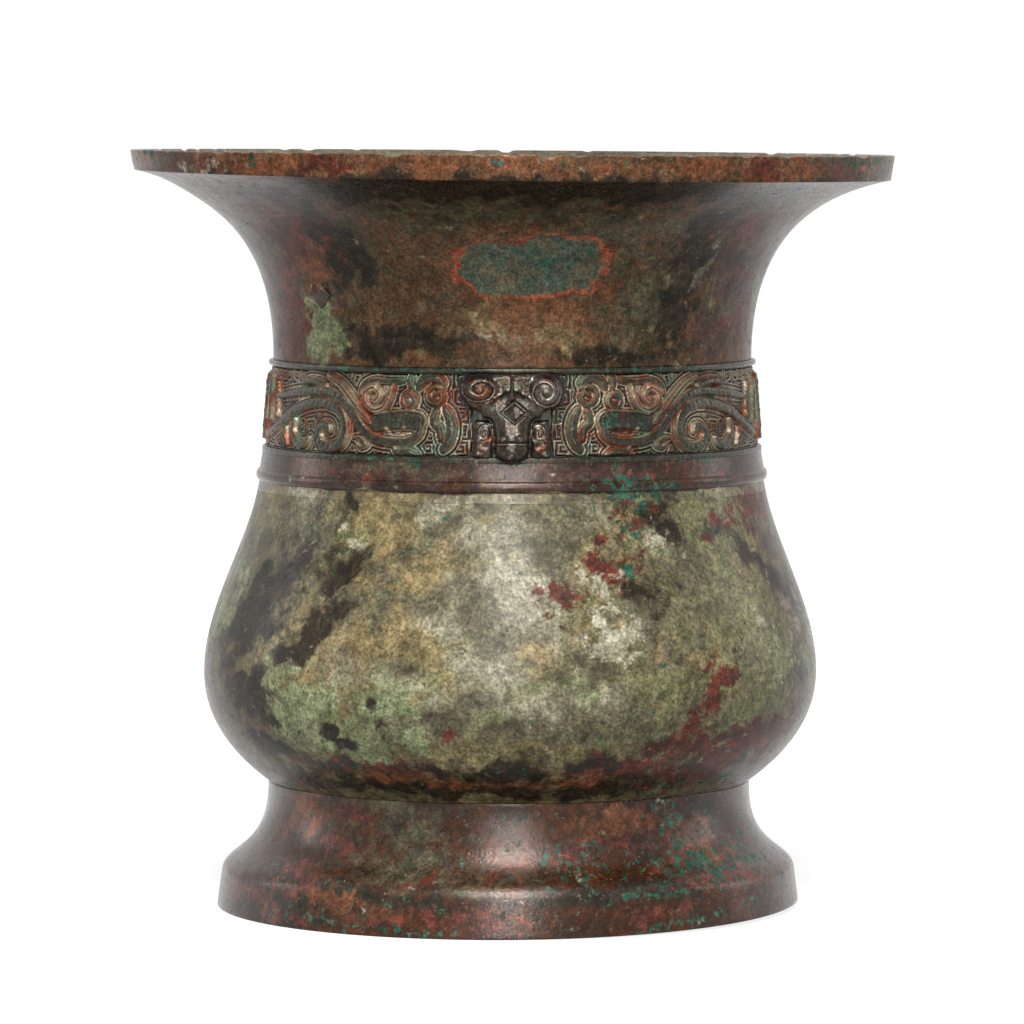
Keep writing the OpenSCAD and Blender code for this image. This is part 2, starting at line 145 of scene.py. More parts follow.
# Mesh steps: columns round a ring, and steps along the outside and the inside of its outline
COLUMNS = 512
BELLY_COLUMNS = 360
NECK_COLUMNS = 640
OUT_STEP = 0.9
IN_STEP = 3.0


# Curves and outlines

def bezier(points, count=24):
    a, b, c, d = np.array(points, float)
    t = np.linspace(0, 1, count + 1)[:, None]
    return (1 - t) ** 3 * a + 3 * t * (1 - t) ** 2 * b + 3 * t * t * (1 - t) * c + t ** 3 * d


def wall_inside(points, wall, end_wall=None, count=24):
    """The curve moved to its left by a wall that may thicken towards its end."""
    a, b, c, d = np.array(points, float)
    t = np.linspace(0, 1, count + 1)[:, None]
    way = (1 - t) ** 2 * (b - a) + 2 * t * (1 - t) * (c - b) + t * t * (d - c)
    way /= np.linalg.norm(way, axis=1)[:, None]
    left = np.stack([-way[:, 1], way[:, 0]], 1)
    grown = wall + ((end_wall or wall) - wall) * t ** 4
    return bezier(points, count) + grown * left


def mix(a, b, share):
    return a + (b - a) * share


def smoothstep(low, high, value):
    t = np.clip((value - low) / (high - low), 0, 1)
    return t * t * (3 - 2 * t)


FOOT_CURVE = [
    (FOOT_R - FOOT_BAND_LEAN, FOOT_BAND_H),
    (FOOT_R - 1.5, mix(FOOT_BAND_H, FOOT_H, 0.24)),
    (FOOT_WAIST_R - 0.8, mix(FOOT_BAND_H, FOOT_H, 0.22)),
    (FOOT_WAIST_R, FOOT_H),
]
BELLY_LOW_CURVE = [
    (FOOT_WAIST_R, FOOT_H),
    (mix(FOOT_WAIST_R, BELLY_R, 0.45), mix(FOOT_H, BELLY_WIDE_Z, 0.2)),
    (BELLY_R, mix(FOOT_H, BELLY_WIDE_Z, 0.52)),
    (BELLY_R, BELLY_WIDE_Z),
]
BELLY_HIGH_CURVE = [
    (BELLY_R, BELLY_WIDE_Z),
    (BELLY_R, mix(BELLY_WIDE_Z, BAND_Z, 0.35)),
    (mix(BELLY_TOP_R, BELLY_R, 0.21), mix(BELLY_WIDE_Z, BAND_Z, 0.69)),
    (BELLY_TOP_R, BAND_Z),
]
LIP_LOW = (MOUTH_R - LIP_LEAN, RIM_Z - LIP_H)
NECK_CURVE = [
    (NECK_R, NECK_Z),
    (NECK_R, mix(NECK_Z, LIP_LOW[1], 0.47)),
    (mix(NECK_R, LIP_LOW[0], 0.21), mix(NECK_Z, LIP_LOW[1], 0.88)),
    LIP_LOW,
]


# How far corners are worn round: in general, and at the foot's edges, the fillets and the lip
CORNER_WORN = 0.1
FOOT_EDGE_WORN = 0.5
FOOT_BAND_WORN = 0.35
FILLET_LOW_WORN = 0.8
FILLET_HIGH_WORN = 0.7
LIP_WORN = 0.5
# A corner whose sides run on nearly straight isn't worn, and no corner over half of a side
STRAIGHT_COS = -0.85
SIDE_PART = 2.2
SHORTEST = 1e-6


class Outline:
    """A closed outline of a ring's section, whose stretches have a side and worn corners."""

    def __init__(self):
        self.corners = []

    def add(self, points, outer, worn=CORNER_WORN):
        self.corners += [(np.array(point, float), outer, worn) for point in points]
        return self

    def bent(self):
        """Points with their corners worn round, and the side of each."""
        count = len(self.corners)
        for i, (here, outer, worn) in enumerate(self.corners):
            before = self.corners[i - 1][0] - here
            after = self.corners[(i + 1) % count][0] - here
            long_before = np.linalg.norm(before)
            long_after = np.linalg.norm(after)
            if min(long_before, long_after) < SHORTEST:
                continue
            if np.dot(before, after) / (long_before * long_after) < STRAIGHT_COS:
                yield here, outer
                continue
            start = here + before / long_before * min(worn, long_before / SIDE_PART)
            end = here + after / long_after * min(worn, long_after / SIDE_PART)
            for t in (0, 0.25, 0.5, 0.75, 1):
                yield (1 - t) ** 2 * start + 2 * t * (1 - t) * here + t * t * end, outer

    def refined(self):
        """Points at even steps, and which of them lie outside."""
        bent = list(self.bent())
        points = []
        outer = []
        for i, (here, side) in enumerate(bent):
            there, next_side = bent[(i + 1) % len(bent)]
            step = OUT_STEP if side and next_side else IN_STEP
            pieces = max(1, math.ceil(np.linalg.norm(there - here) / step))
            for k in range(pieces):
                points.append(mix(here, there, k / pieces))
                outer.append(side)
        return np.array(points), np.array(outer)


def foot_outline():
    inside = [
        p for p in wall_inside(FOOT_CURVE, FOOT_WALL)[::-1]
        if p[1] < FOOT_H - FOOT_INSIDE_END and p[0] > FOOT_WAIST_R - FOOT_WALL]
    outline = Outline().add([(FOOT_R, 0)], True, FOOT_EDGE_WORN)
    outline.add(bezier(FOOT_CURVE), True, FOOT_BAND_WORN)
    outline.add([(FOOT_WAIST_R - FOOT_WALL, FOOT_H)], False)
    return outline.add(inside, False).add([(FOOT_R - FOOT_WALL, 0)], False)


def belly_outline():
    inside = np.vstack([
        wall_inside(BELLY_LOW_CURVE, BELLY_WALL),
        wall_inside(BELLY_HIGH_CURVE, BELLY_WALL)[1:]])
    edge = inside[0]
    floor_z = edge[1] - FLOOR_DIP
    floor = bezier([
        (0.01, floor_z),
        (0.62 * edge[0], floor_z),
        (0.88 * edge[0], floor_z + 0.35 * FLOOR_DIP),
        edge])
    spigot_r = FOOT_WAIST_R - FOOT_WALL - LAP_GAP
    under = [p - (0, FLOOR_WALL) for p in floor if p[0] < spigot_r - SPIGOT_W]
    outline = Outline().add(bezier(BELLY_LOW_CURVE), True)
    outline.add(bezier(BELLY_HIGH_CURVE)[1:], True)
    outline.add(inside[::-1], False).add(floor[-2::-1], False).add(under, False)
    return outline.add([
        (spigot_r - SPIGOT_W, FOOT_H - SPIGOT_H),
        (spigot_r, FOOT_H - SPIGOT_H),
        (spigot_r, FOOT_H)], False)


def band_outline():
    bow_r = mix(BELLY_TOP_R, BAND_TOP_R, BOW_Z / (FRIEZE_Z - BAND_Z))
    bow = [
        (bow_r + BOW_PROUD * math.cos(a), BAND_Z + BOW_Z + BOW_W / 2 * math.sin(a))
        for a in np.linspace(-math.pi / 2, math.pi / 2, 11)]
    inside_r = wall_inside(BELLY_HIGH_CURVE, BELLY_WALL)[-1][0]
    outline = Outline().add([(BELLY_TOP_R, BAND_Z)], True).add(bow, True)
    outline.add([(BAND_TOP_R, FRIEZE_Z)], True)
    return outline.add([(BAND_TOP_R - BAND_WALL, FRIEZE_Z), (inside_r, BAND_Z)], False)


def frieze_outline():
    seat_low = FRIEZE_Z + FILLET_H
    seat_high = NECK_Z - FILLET_H
    outline = Outline().add([(GROUND_LOW_R + FILLET_PROUD, FRIEZE_Z)], True)
    outline.add([(GROUND_LOW_R + FILLET_PROUD, seat_low)], True, FILLET_LOW_WORN)
    outline.add([
        (GROUND_LOW_R - PANEL_SEAT / 2, seat_low),
        (GROUND_HIGH_R - PANEL_SEAT / 2, seat_high)], True)
    outline.add([
        (GROUND_HIGH_R + FILLET_PROUD, seat_high),
        (GROUND_HIGH_R + FILLET_PROUD, NECK_Z)], True, FILLET_HIGH_WORN)
    return outline.add([(WAIST_IN_R, NECK_Z), (BAND_TOP_R - BAND_WALL, FRIEZE_Z)], False)


def neck_outline():
    inside = [
        p for p in wall_inside(NECK_CURVE, NECK_WALL, LIP_WALL)[::-1]
        if p[1] < RIM_Z - LIP_CLEAR_Z and p[0] < MOUTH_R - LIP_EDGE - LIP_CLEAR_R]
    outline = Outline().add(bezier(NECK_CURVE), True)
    outline.add([(MOUTH_R, RIM_Z), (MOUTH_R - LIP_EDGE, RIM_Z)], True, LIP_WORN)
    return outline.add(inside, False)


# The outside of the whole vessel, for placing the patina

OUTSIDE = np.vstack([
    [(FOOT_R, 0)],
    bezier(FOOT_CURVE),
    bezier(BELLY_LOW_CURVE)[1:],
    bezier(BELLY_HIGH_CURVE)[1:],
    [(BAND_TOP_R, FRIEZE_Z), (GROUND_HIGH_R, NECK_Z - 1)],
    bezier(NECK_CURVE),
    [(MOUTH_R, RIM_Z)]])


def outside_r(z):
    return np.interp(z, OUTSIDE[:, 1], OUTSIDE[:, 0])


def from_photo(x, y):
    """Azimuth in radians and height of the vessel's outside at a pixel of the photograph."""
    z = RIM_Z / 2
    azimuth = 0
    for _ in range(30):
        depth = 1 - outside_r(z) * math.cos(azimuth) / CAMERA_D
        across = (x - AXIS_X) * PX * depth
        azimuth = math.asin(max(-0.999, min(0.999, across / outside_r(z))))
        z = mix(z, CAMERA_Z - (y - HORIZON_Y) * PX * depth, 0.5)
    return azimuth, z


# Smooth seeded unevenness

def waves(azimuth, z, seed, count=14, around=9, height=40):
    """A smooth field between about -1 and 1 that closes round the vessel."""
    draw = np.random.default_rng(seed)
    total = np.zeros(np.broadcast(azimuth, z).shape)
    for _ in range(count):
        turns = draw.integers(-around, around + 1)
        rise = draw.normal() / height * 2 * math.pi
        phase = draw.uniform(0, 2 * math.pi)
        total += np.sin(turns * azimuth + rise * z + phase)
    return total / math.sqrt(count)


# The casting's warp: how far the rim drops and the foot lifts on the right, how far the wall is
# drawn in, and how far the foot is set to the left
RIM_DROP = 1.6
FOOT_LIFT = 1.3
SAG = 0.22
LEAN = 1.35


def warped(points):
    """The slight warp of the casting: the wall drawn in a little, the rim dropped and the foot
    lifted on the right, and the lower part set to the left.
    """
    x, y, z = points.T
    azimuth = np.arctan2(x, -y)
    radius = np.hypot(x, y)
    drawn_in = SAG * (1 + np.clip(waves(azimuth, z, 3, around=4, height=160), -1, 1)) / 2
    scale = np.where(radius > 1, 1 - drawn_in / np.maximum(radius, 1), 1)
    up_neck = np.clip((z - NECK_Z) / (RIM_Z - NECK_Z), 0, 1)
    down_foot = np.clip(1 - z / FOOT_H, 0, 1)
    rightness = (1 + np.sin(azimuth)) / 2
    lowered = RIM_DROP * rightness * up_neck ** 2
    lifted = FOOT_LIFT * rightness ** 3 * down_foot ** 2
    leant = LEAN * np.clip(1 - z / RIM_Z, 0, 1) ** 2
    return np.stack([x * scale - leant, y * scale, z - lowered + lifted], 1)


# Patina patches, as seen from the front: x, y, half width and half height in the photograph's
# pixels, strength, and the tilt in degrees of those that lean. Some plum patches are painted
# reflection and some dark ones are painted shade.

PATCHES = {
    # At the vessel's left and right edges these plum patches are a painted reflection, a purple-grey
    # sheen. The others are a plum-brown tone of the patina.
    "plum_and_edge_sheen": [
        (220, 215, 62, 60, 0.95, 30), (805, 215, 75, 60, 0.95, -30), (808, 640, 15, 130, 1),
        (211, 655, 9, 110, 0.9), (785, 885, 28, 50, 0.9), (240, 880, 26, 42, 0.9),
        (270, 300, 14, 90, 0.8), (735, 290, 34, 70, 0.9), (600, 850, 70, 16, 0.8),
        (512, 474, 250, 9, 0.8), (640, 182, 300, 8, 0.6),
    ],
    "moss": [
        (440, 206, 92, 15, 0.85), (615, 225, 52, 24, 0.8), (640, 295, 30, 42, 0.85),
        (356, 255, 18, 32, 0.75), (350, 825, 30, 34, 0.55), (408, 822, 42, 30, 0.66),
        (410, 872, 60, 18, 0.72, 5), (360, 914, 40, 7, 0.65, 6), (345, 330, 20, 30, 0.6),
        (395, 470, 60, 7, 0.7),
    ],
    "tan": [
        (470, 322, 40, 18, 0.62), (560, 336, 44, 11, 0.56), (667, 333, 12, 12, 0.66),
        (667, 280, 5, 24, 0.75, 5), (320, 512, 42, 11, 0.85), (388, 523, 26, 32, 0.95),
        (365, 630, 32, 14, 0.95), (400, 580, 60, 44, 0.85), (660, 640, 30, 40, 0.85),
        (678, 682, 40, 30, 0.85), (652, 712, 24, 20, 0.85), (304, 608, 20, 16, 0.8),
        (545, 640, 28, 16, 0.7), (450, 560, 30, 30, 0.7), (330, 665, 44, 24, 0.75),
    ],
    "olive": [
        (315, 545, 26, 36, 0.85), (704, 534, 28, 40, 0.9), (706, 608, 28, 34, 0.9),
        (742, 722, 15, 22, 0.9), (770, 660, 26, 44, 0.85), (742, 622, 27, 36, 0.9),
        (540, 700, 60, 20, 0.6), (660, 700, 60, 40, 0.6),
    ],
    "celadon": [
        (432, 520, 19, 15, 0.95), (445, 622, 30, 17, 0.95), (490, 668, 34, 34, 1),
        (530, 702, 62, 18, 0.85), (515, 585, 46, 62, 1), (360, 672, 60, 24, 0.65),
        (440, 705, 24, 34, 0.75), (580, 520, 34, 30, 0.65), (708, 255, 9, 26, 0.7),
        (495, 338, 32, 9, 0.56), (600, 700, 40, 20, 0.7), (300, 496, 36, 8, 0.8, 5),
        (470, 500, 60, 12, 0.65),
    ],
    "jade": [
        (275, 680, 17, 21, 0.9), (305, 718, 34, 36, 0.9, 30), (392, 725, 32, 40, 0.95),
        (724, 580, 8, 30, 0.4), (319, 327, 14, 27, 1.1, -12), (657, 546, 24, 18, 0.65),
        (585, 692, 26, 18, 0.65), (240, 560, 9, 40, 0.7, 20), (350, 745, 44, 14, 0.8, 8),
        (470, 716, 34, 14, 0.65),
    ],
    "smoke": [
        (407, 669, 12, 8, 0.75), (436, 534, 30, 9, 0.85, -40), (420, 603, 15, 10, 0.85),
        (448, 588, 20, 9, 0.85, -15), (480, 612, 11, 26, 0.85, -12), (578, 655, 26, 12, 0.85, 50),
        (622, 669, 36, 13, 0.85), (647, 648, 11, 14, 0.8), (552, 546, 26, 18, 0.8),
        (317, 540, 12, 20, 0.75), (455, 722, 34, 16, 0.75), (545, 730, 70, 14, 0.75),
        (380, 614, 14, 15, 0.75), (520, 500, 60, 12, 0.6), (270, 560, 30, 40, 0.7, -60),
        (640, 610, 26, 40, 0.7), (690, 580, 18, 60, 0.6), (345, 600, 30, 24, 0.6, -50),
        (500, 640, 20, 8, 0.6), (640, 720, 50, 20, 0.6),
    ],
    "dark": [
        # The dark band at (512, 187) is painted shade under the lip, and the two dark patches at (503,
        # 385) and (523, 385) are painted shade on the mask's forehead; the rest is dark patina.
        (503, 385, 8, 8, 0.7), (523, 385, 9, 8, 0.75), (338, 250, 19, 40, 0.8, -10),
        (681, 285, 13, 74, 0.9, 3), (512, 187, 350, 9, 1), (400, 346, 52, 12, 0.85),
        (620, 352, 70, 7, 0.75), (262, 608, 66, 20, 1, -64), (342, 577, 23, 11, 1.05, -52),
        (308, 637, 35, 12, 1.05, -46), (250, 697, 21, 16, 1), (273, 718, 10, 9, 0.95),
        (329, 730, 7, 10, 1), (373, 707, 5, 8, 0.85), (385, 730, 7, 7, 0.75), (354, 746, 10, 11, 0.72),
        (358, 507, 12, 16, 0.72), (648, 590, 24, 17, 0.7), (659, 520, 20, 22, 0.75),
        (760, 563, 46, 9, 0.85, 55), (512, 776, 260, 10, 0.8), (280, 752, 34, 10, 0.9, 25),
        (265, 905, 34, 16, 0.7), (640, 896, 90, 6, 0.7, -3), (345, 896, 90, 6, 0.7, 5),
        (700, 822, 20, 14, 0.7), (512, 795, 240, 4, 0.7), (590, 770, 60, 12, 0.85),
        (512, 790, 265, 9, 0.86),
    ],
    "red": [
        (288, 318, 11, 44, 0.95), (290, 233, 30, 19, 0.8, 15), (752, 228, 14, 20, 0.72),
        (740, 310, 16, 44, 0.68), (636, 516, 20, 15, 0.85), (617, 565, 17, 21, 0.9, 20),
        (564, 595, 19, 13, 0.9), (755, 505, 15, 28, 0.9, 55), (722, 697, 10, 36, 0.95, 8),
        (690, 740, 38, 23, 0.9, -25), (735, 756, 52, 20, 0.9, -25), (780, 735, 28, 23, 0.85, -45),
        (650, 771, 62, 13, 0.75), (448, 733, 10, 8, 0.85), (400, 768, 60, 8, 0.7, 3),
        (357, 817, 15, 7, 0.9), (312, 822, 8, 5, 0.9), (342, 850, 17, 7, 0.85), (284, 837, 6, 11, 0.8),
        (306, 877, 24, 7, 0.92, 12), (427, 887, 12, 6, 0.85), (262, 900, 38, 18, 0.72, 8),
        (390, 927, 26, 6, 0.8, 5), (480, 922, 48, 14, 0.66), (678, 830, 24, 22, 0.76),
        (715, 872, 50, 16, 0.8, 5), (665, 921, 28, 7, 0.85, -5), (600, 852, 60, 14, 0.62),
        (345, 472, 60, 7, 0.5), (690, 470, 60, 8, 0.56), (195, 165, 42, 10, 0.85),
        (330, 166, 26, 10, 0.78), (765, 165, 22, 10, 0.9), (840, 166, 18, 9, 0.7),
        (619, 396, 8, 8, 0.9), (410, 400, 8, 8, 0.95), (382, 399, 16, 12, 0.85),
        (648, 398, 20, 14, 0.9), (546, 446, 9, 7, 0.7), (485, 442, 7, 10, 0.6), (474, 381, 7, 4, 0.8),
    ],
    "orange": [
        (310, 262, 13, 18, 0.75), (548, 270, 66, 34, 0.52), (590, 250, 26, 20, 0.62, 20),
        (270, 168, 40, 9, 0.6), (415, 165, 68, 9, 0.55), (700, 165, 48, 9, 0.56),
        (805, 165, 24, 9, 0.6), (336, 902, 42, 10, 0.8, 8), (302, 806, 18, 24, 0.75),
        (617, 825, 40, 17, 0.8), (715, 850, 17, 13, 0.88, 20), (435, 395, 10, 10, 0.8),
        (400, 780, 110, 6, 0.7, 3), (560, 786, 90, 5, 0.65), (540, 165, 60, 9, 0.46),
        (625, 166, 50, 9, 0.5), (489, 386, 9, 10, 0.7),
    ],
    "teal": [
        (518, 269, 54, 22, 1.15), (560, 263, 42, 25, 1.15, 8), (143, 160, 12, 10, 0.56),
        (872, 163, 22, 9, 0.5), (450, 165, 12, 5, 0.7), (498, 160, 14, 8, 0.7), (410, 400, 4, 4, 1),
        (619, 396, 4, 4, 1),
    ],
    "malachite": [
        (635, 497, 30, 13, 0.62), (625, 524, 13, 10, 0.6), (628, 570, 6, 5, 0.85),
        (572, 596, 11, 8, 0.64), (625, 479, 30, 4, 0.62), (578, 866, 26, 13, 0.52),
        (680, 830, 14, 26, 0.6, -12), (712, 868, 42, 13, 0.6, 5), (752, 856, 16, 10, 0.56),
        (665, 899, 46, 3, 0.66, -3), (680, 931, 74, 3, 0.66, -8), (400, 935, 90, 3, 0.56, 4),
        (550, 256, 26, 7, 0.52), (400, 369, 120, 2, 0.32, -1), (670, 369, 90, 2, 0.3, 2),
        (390, 459, 110, 2, 0.3, 2), (690, 460, 70, 2, 0.36, -3), (598, 402, 18, 20, 0.52),
        (690, 786, 40, 3, 0.66, -4), (870, 157, 26, 4, 0.7), (150, 150, 18, 4, 0.7),
    ],
    "crust": [
        (588, 576, 13, 12, 0.68), (609, 596, 15, 19, 0.72), (606, 624, 24, 14, 0.7),
        (618, 644, 20, 14, 1.2, -10), (345, 527, 7, 5, 0.9), (355, 544, 8, 5, 0.75),
        (660, 540, 18, 14, 0.52), (195, 166, 40, 8, 0.4), (770, 620, 20, 40, 0.24),
    ],
}
# Generic patches for the side that the photograph doesn't show: how many, from where to where round
# the vessel, and each layer's share of them
BACK_PATCHES = 70
BACK_FROM = math.radians(100)
BACK_TO = math.radians(260)
BACK_SHARES = {
    "dark": 0.2, "tan": 0.1, "olive": 0.18, "celadon": 0.2, "jade": 0.1, "red": 0.14,
    "malachite": 0.05, "crust": 0.03,
}
# Layers whose patches keep the outline that the list gives, and those that fade to a share of their
# weight at the belly's edges
EVEN_LAYERS = ("teal",)
BELLY_ONLY = ("tan", "olive", "celadon", "jade", "smoke", "crust")
OFF_BELLY = 0.35
# The belly's patina runs up over the plain band to its raised line, with these weights added
SKIN_TOP_Z = BAND_Z + BOW_Z - BOW_W / 2
SKIN_EDGE = 0.4
SKIN_STRAY = 0.06
BELLY_SKIN = {"tan": 0.9, "olive": 0.26, "jade": 0.08, "smoke": 0.24, "dark": -0.18}
# A patch's border strays in full from this half size on, and no patch at the sides is foreshortened
# more than this
FULL_STRAY_PX = 12
LEAST_FACING = 0.3


def back_patches():
    draw = np.random.default_rng(11)
    for _ in range(BACK_PATCHES):
        layer = draw.choice(list(BACK_SHARES), p=list(BACK_SHARES.values()))
        azimuth = draw.uniform(BACK_FROM, BACK_TO)
        z = draw.uniform(0, RIM_Z)
        wide = draw.uniform(20, 70)
        high = draw.uniform(14, 60)
        if layer in ("celadon", "jade", "tan"):
            z = draw.uniform(0.25, 0.55) * RIM_Z
        yield layer, azimuth, z, wide, high, draw.uniform(-40, 40), draw.uniform(0.75, 1)


def placed_patches():
    """Layer, azimuth, height, half sizes in pixels, tilt and strength of every patch."""
    for layer, patches in PATCHES.items():
        for x, y, wide, high, strength, *tilt in patches:
            azimuth, z = from_photo(x, y)
            yield layer, azimuth, z, wide, high, tilt[0] if tilt else 0, strength
    yield from back_patches()


ALL_PATCHES = list(placed_patches())


def strayed(azimuth, z, seed):
    """How far a patch's border strays at a point, in pixels."""
    broad = waves(azimuth, z, seed, around=30, height=17)
    fine = waves(azimuth, z, seed + 1, around=80, height=7)
    return 6 * broad + 3 * fine


def patina_weights(points):
    """For each layer of the patina, its weight at each point: 0.5 on a patch's border, 1 inside."""
    x, y, z = points.T
    azimuth = np.arctan2(x, -y)
    weights = {layer: np.zeros(len(points)) for layer in PATCHES}
    strayed_across = strayed(azimuth, z, 31)
    strayed_down = strayed(azimuth, z, 33)
    for layer, middle, height, wide, high, tilt, strength in ALL_PATCHES:
        turn = (azimuth - middle + math.pi) % (2 * math.pi) - math.pi
        facing = max(LEAST_FACING, abs(math.cos(middle)))
        stray = min(1, min(wide, high) / FULL_STRAY_PX) * (layer not in EVEN_LAYERS)
        across = outside_r(height) * turn * facing / PX + stray * strayed_across
        down = (height - z) / PX + stray * strayed_down
        lean = math.radians(tilt)
        along = across * math.cos(lean) + down * math.sin(lean)
        over = down * math.cos(lean) - across * math.sin(lean)
        away = np.hypot(along / wide, over / high)
        weight = strength * np.clip(1 - away / 2, 0, 1)
        weights[layer] = np.maximum(weights[layer], weight)
    ragged_z = z + SKIN_STRAY * strayed_down
    under_line = smoothstep(SKIN_TOP_Z + SKIN_EDGE, SKIN_TOP_Z - SKIN_EDGE, ragged_z)
    on_belly = mix(OFF_BELLY, 1, smoothstep(FOOT_H, FOOT_H + 1, z) * under_line)
    on_neck = smoothstep(NECK_Z - 1, NECK_Z, z)
    for layer in BELLY_ONLY:
        weights[layer] *= np.maximum(on_belly, on_neck)
    skin = under_line * smoothstep(BAND_Z - 0.1, BAND_Z, z)
    for layer, weight in BELLY_SKIN.items():
        weights[layer] += weight * skin
    return weights


# Meshes

def in_scene(name, data):
    """A new object in the scene."""
    thing = bpy.data.objects.new(name, data)
    bpy.context.scene.collection.objects.link(thing)
    return thing


def make_object(name, points, faces, shades, material):
    """A smooth mesh object from points in millimetres, with a value for each point and shade."""
    mesh = bpy.data.meshes.new(name)
    mesh.from_pydata((np.asarray(points) * MM).tolist(), [], faces)
    for label, values in shades.items():
        attribute = mesh.attributes.new(label, "FLOAT", "POINT")
        attribute.data.foreach_set("value", np.asarray(values, np.float32))
    mesh.polygons.foreach_set("use_smooth", np.ones(len(mesh.polygons), bool))
    mesh.update()
    mesh.materials.append(material)
    return in_scene(name, mesh)


def finish_piece(piece, node, slot):
    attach(piece, "root")
    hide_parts(node)


def grid_faces(rows, columns, close_rows, close_columns):
    """Quads of a grid of points, numbered row by row."""
    a = np.arange(rows if close_rows else rows - 1)
    b = np.arange(columns if close_columns else columns - 1)
    low, left = np.meshgrid(a, b, indexing="ij")
    up = (low + 1) % rows
    right = (left + 1) % columns
    corners = [low * columns + left, low * columns + right, up * columns + right, up * columns + left]
    return np.stack([c.ravel() for c in corners], 1)


def ring_piece(name, outline, material, columns, wear=None):
    """A section of the wall, turned from its outline."""
    points, outer = outline.refined()
    azimuth = np.linspace(0, 2 * math.pi, columns, endpoint=False)
    radius, turn = np.meshgrid(points[:, 0], azimuth, indexing="ij")
    height = np.repeat(points[:, 1:], columns, 1)
    if wear:
        radius, height = wear(radius, height, turn, outer[:, None])
    spots = np.stack([radius * np.sin(turn), -radius * np.cos(turn), height], 2).reshape(-1, 3)
    outside = np.repeat(outer.astype(float), columns)
    weights = patina_weights(spots)
    shades = {layer: weight * outside for layer, weight in weights.items()}
    shades["inside"] = 1 - outside
    faces = grid_faces(len(points), columns, True, True)
    return make_object(name, warped(spots), faces.tolist(), shades, material)


# Dragon panels. The ribs of the left front dragon as the photograph shows them: width, whether the
# rib is scored along its length, and points, in the photograph's pixels

BACK = (10, 1, [(330, 376), (339, 382), (347, 391), (354, 401), (361, 411), (371, 422)])
FLANK = (10, 0, [
    (282, 395), (306, 391), (326, 390), (338, 395), (347, 404), (354, 413), (361, 425), (368, 434),
    (379, 440), (395, 442), (408, 441), (418, 434), (421, 424)])
TAIL = (11, 0, [
    (271, 432), (276, 427), (285, 418), (300, 407), (318, 402), (332, 404), (342, 413), (345, 427),
    (341, 441), (332, 447), (322, 444), (318, 434), (322, 426), (328, 426), (329, 431)])
TAIL_HOOK = (8, 0, [(295, 418), (293, 432), (297, 443), (303, 444), (308, 437)])
TAIL_SIDE = (6, 0, [(286, 426), (285, 434), (286, 444)])
END_RIB = (9, 0, [(274, 379), (272, 397), (271, 417)])
END_LINE = (5, 0, [(280, 380), (279, 399), (278, 416)])
TOP_HOOK = (7, 0, [(305, 384), (309, 380), (319, 381), (327, 384)])
CREST = (9, 1, [
    (393, 386), (389, 398), (383, 407), (374, 409), (367, 402), (367, 392), (375, 387), (380, 394),
    (376, 400), (373, 397)])
CREST_TOP = (6, 0, [(361, 394), (364, 385), (375, 380), (389, 381), (404, 380)])
HORN_STUB = (6, 0, [(412, 376), (411, 387)])
BROW = (8, 0, [(419, 387), (425, 379), (437, 378), (444, 383)])
TRUNK = (9, 0, [(446, 409), (450, 417), (452, 429), (449, 442), (443, 450)])
TRUNK_INNER = (7, 0, [(436, 411), (434, 422), (440, 429), (441, 440)])
LEG = (7, 0, [(394, 446), (397, 451), (408, 451), (416, 455)])
SMALL_COIL = (5, 0, [(353, 437), (361, 438), (366, 444), (360, 447), (357, 442)])
SNOUT_COIL = (5, 0, [
    (443, 388), (436, 386), (429, 391), (429, 400), (437, 404), (443, 398), (440, 392), (435, 395)])
RIBS = [
    BACK, FLANK, TAIL, TAIL_HOOK, TAIL_SIDE, END_RIB, END_LINE, TOP_HOOK, CREST, CREST_TOP, HORN_STUB,
    BROW, TRUNK, TRUNK_INNER, LEG, SMALL_COIL, SNOUT_COIL,
]
# The cheek's width and middle line, the line of the mouth and the middle of the eye
CHEEK = (20, [(377, 423), (390, 421), (406, 420), (416, 421)])
MOUTH = [(387, 428), (393, 434), (400, 433), (405, 427)]
DRAGON_EYE = (409.5, 400)
# A rib beside the seam, which the photograph doesn't show: width and points along and up the panel
SEAM_RIB = (2.3, [(77, 14), (78.5, 18.5), (82, 17.5), (82.5, 10), (82, 3.5), (78.5, 3), (77.5, 7)])
# How far the dragon stands out, its cheek and its pupil, and how deep its lines are
DRAGON_PROUD = 1.3
CHEEK_PROUD = 0.75 * DRAGON_PROUD
PUPIL_PROUD = 1.5
SCORE_DEPTH = 0.42
# A rib's width at its ends and its height at its sides, as shares of its middle's, and its bevel
RIB_END = 0.6
RIB_SIDE = 0.84
RIB_BEVEL = 0.4
MOUTH_HALF_W = 0.35
EYE_R = 2.0
PUPIL_R = 0.55 * EYE_R
# The ground: pitch and reach of the lines that follow the ribs, and how far it rises and is sunk
ECHO_PITCH = 0.95
ECHO_REACH = 1.9
GROUND_PROUD = 0.5
GROUND_SUNK = 0.4
PANEL_STEP = 0.25
# The mask's horn, which the relief keeps clear of
HORN_X = 8.8
HORN_V = 18.9
HORN_R = 5.3


def smooth_line(points, steps=8):
    """A smooth line through points."""
    points = np.array(points, float)
    padded = np.vstack([points[:1], points, points[-1:]])
    t = np.linspace(0, 1, steps, endpoint=False)[:, None]
    line = []
    for a, b, c, d in zip(padded, padded[1:], padded[2:], padded[3:]):
        bend = 2 * a - 5 * b + 4 * c - d
        twist = 3 * b - a - 3 * c + d
        line.append(0.5 * (2 * b + (c - a) * t + bend * t ** 2 + twist * t ** 3))
    return np.vstack(line + [points[-1:]])


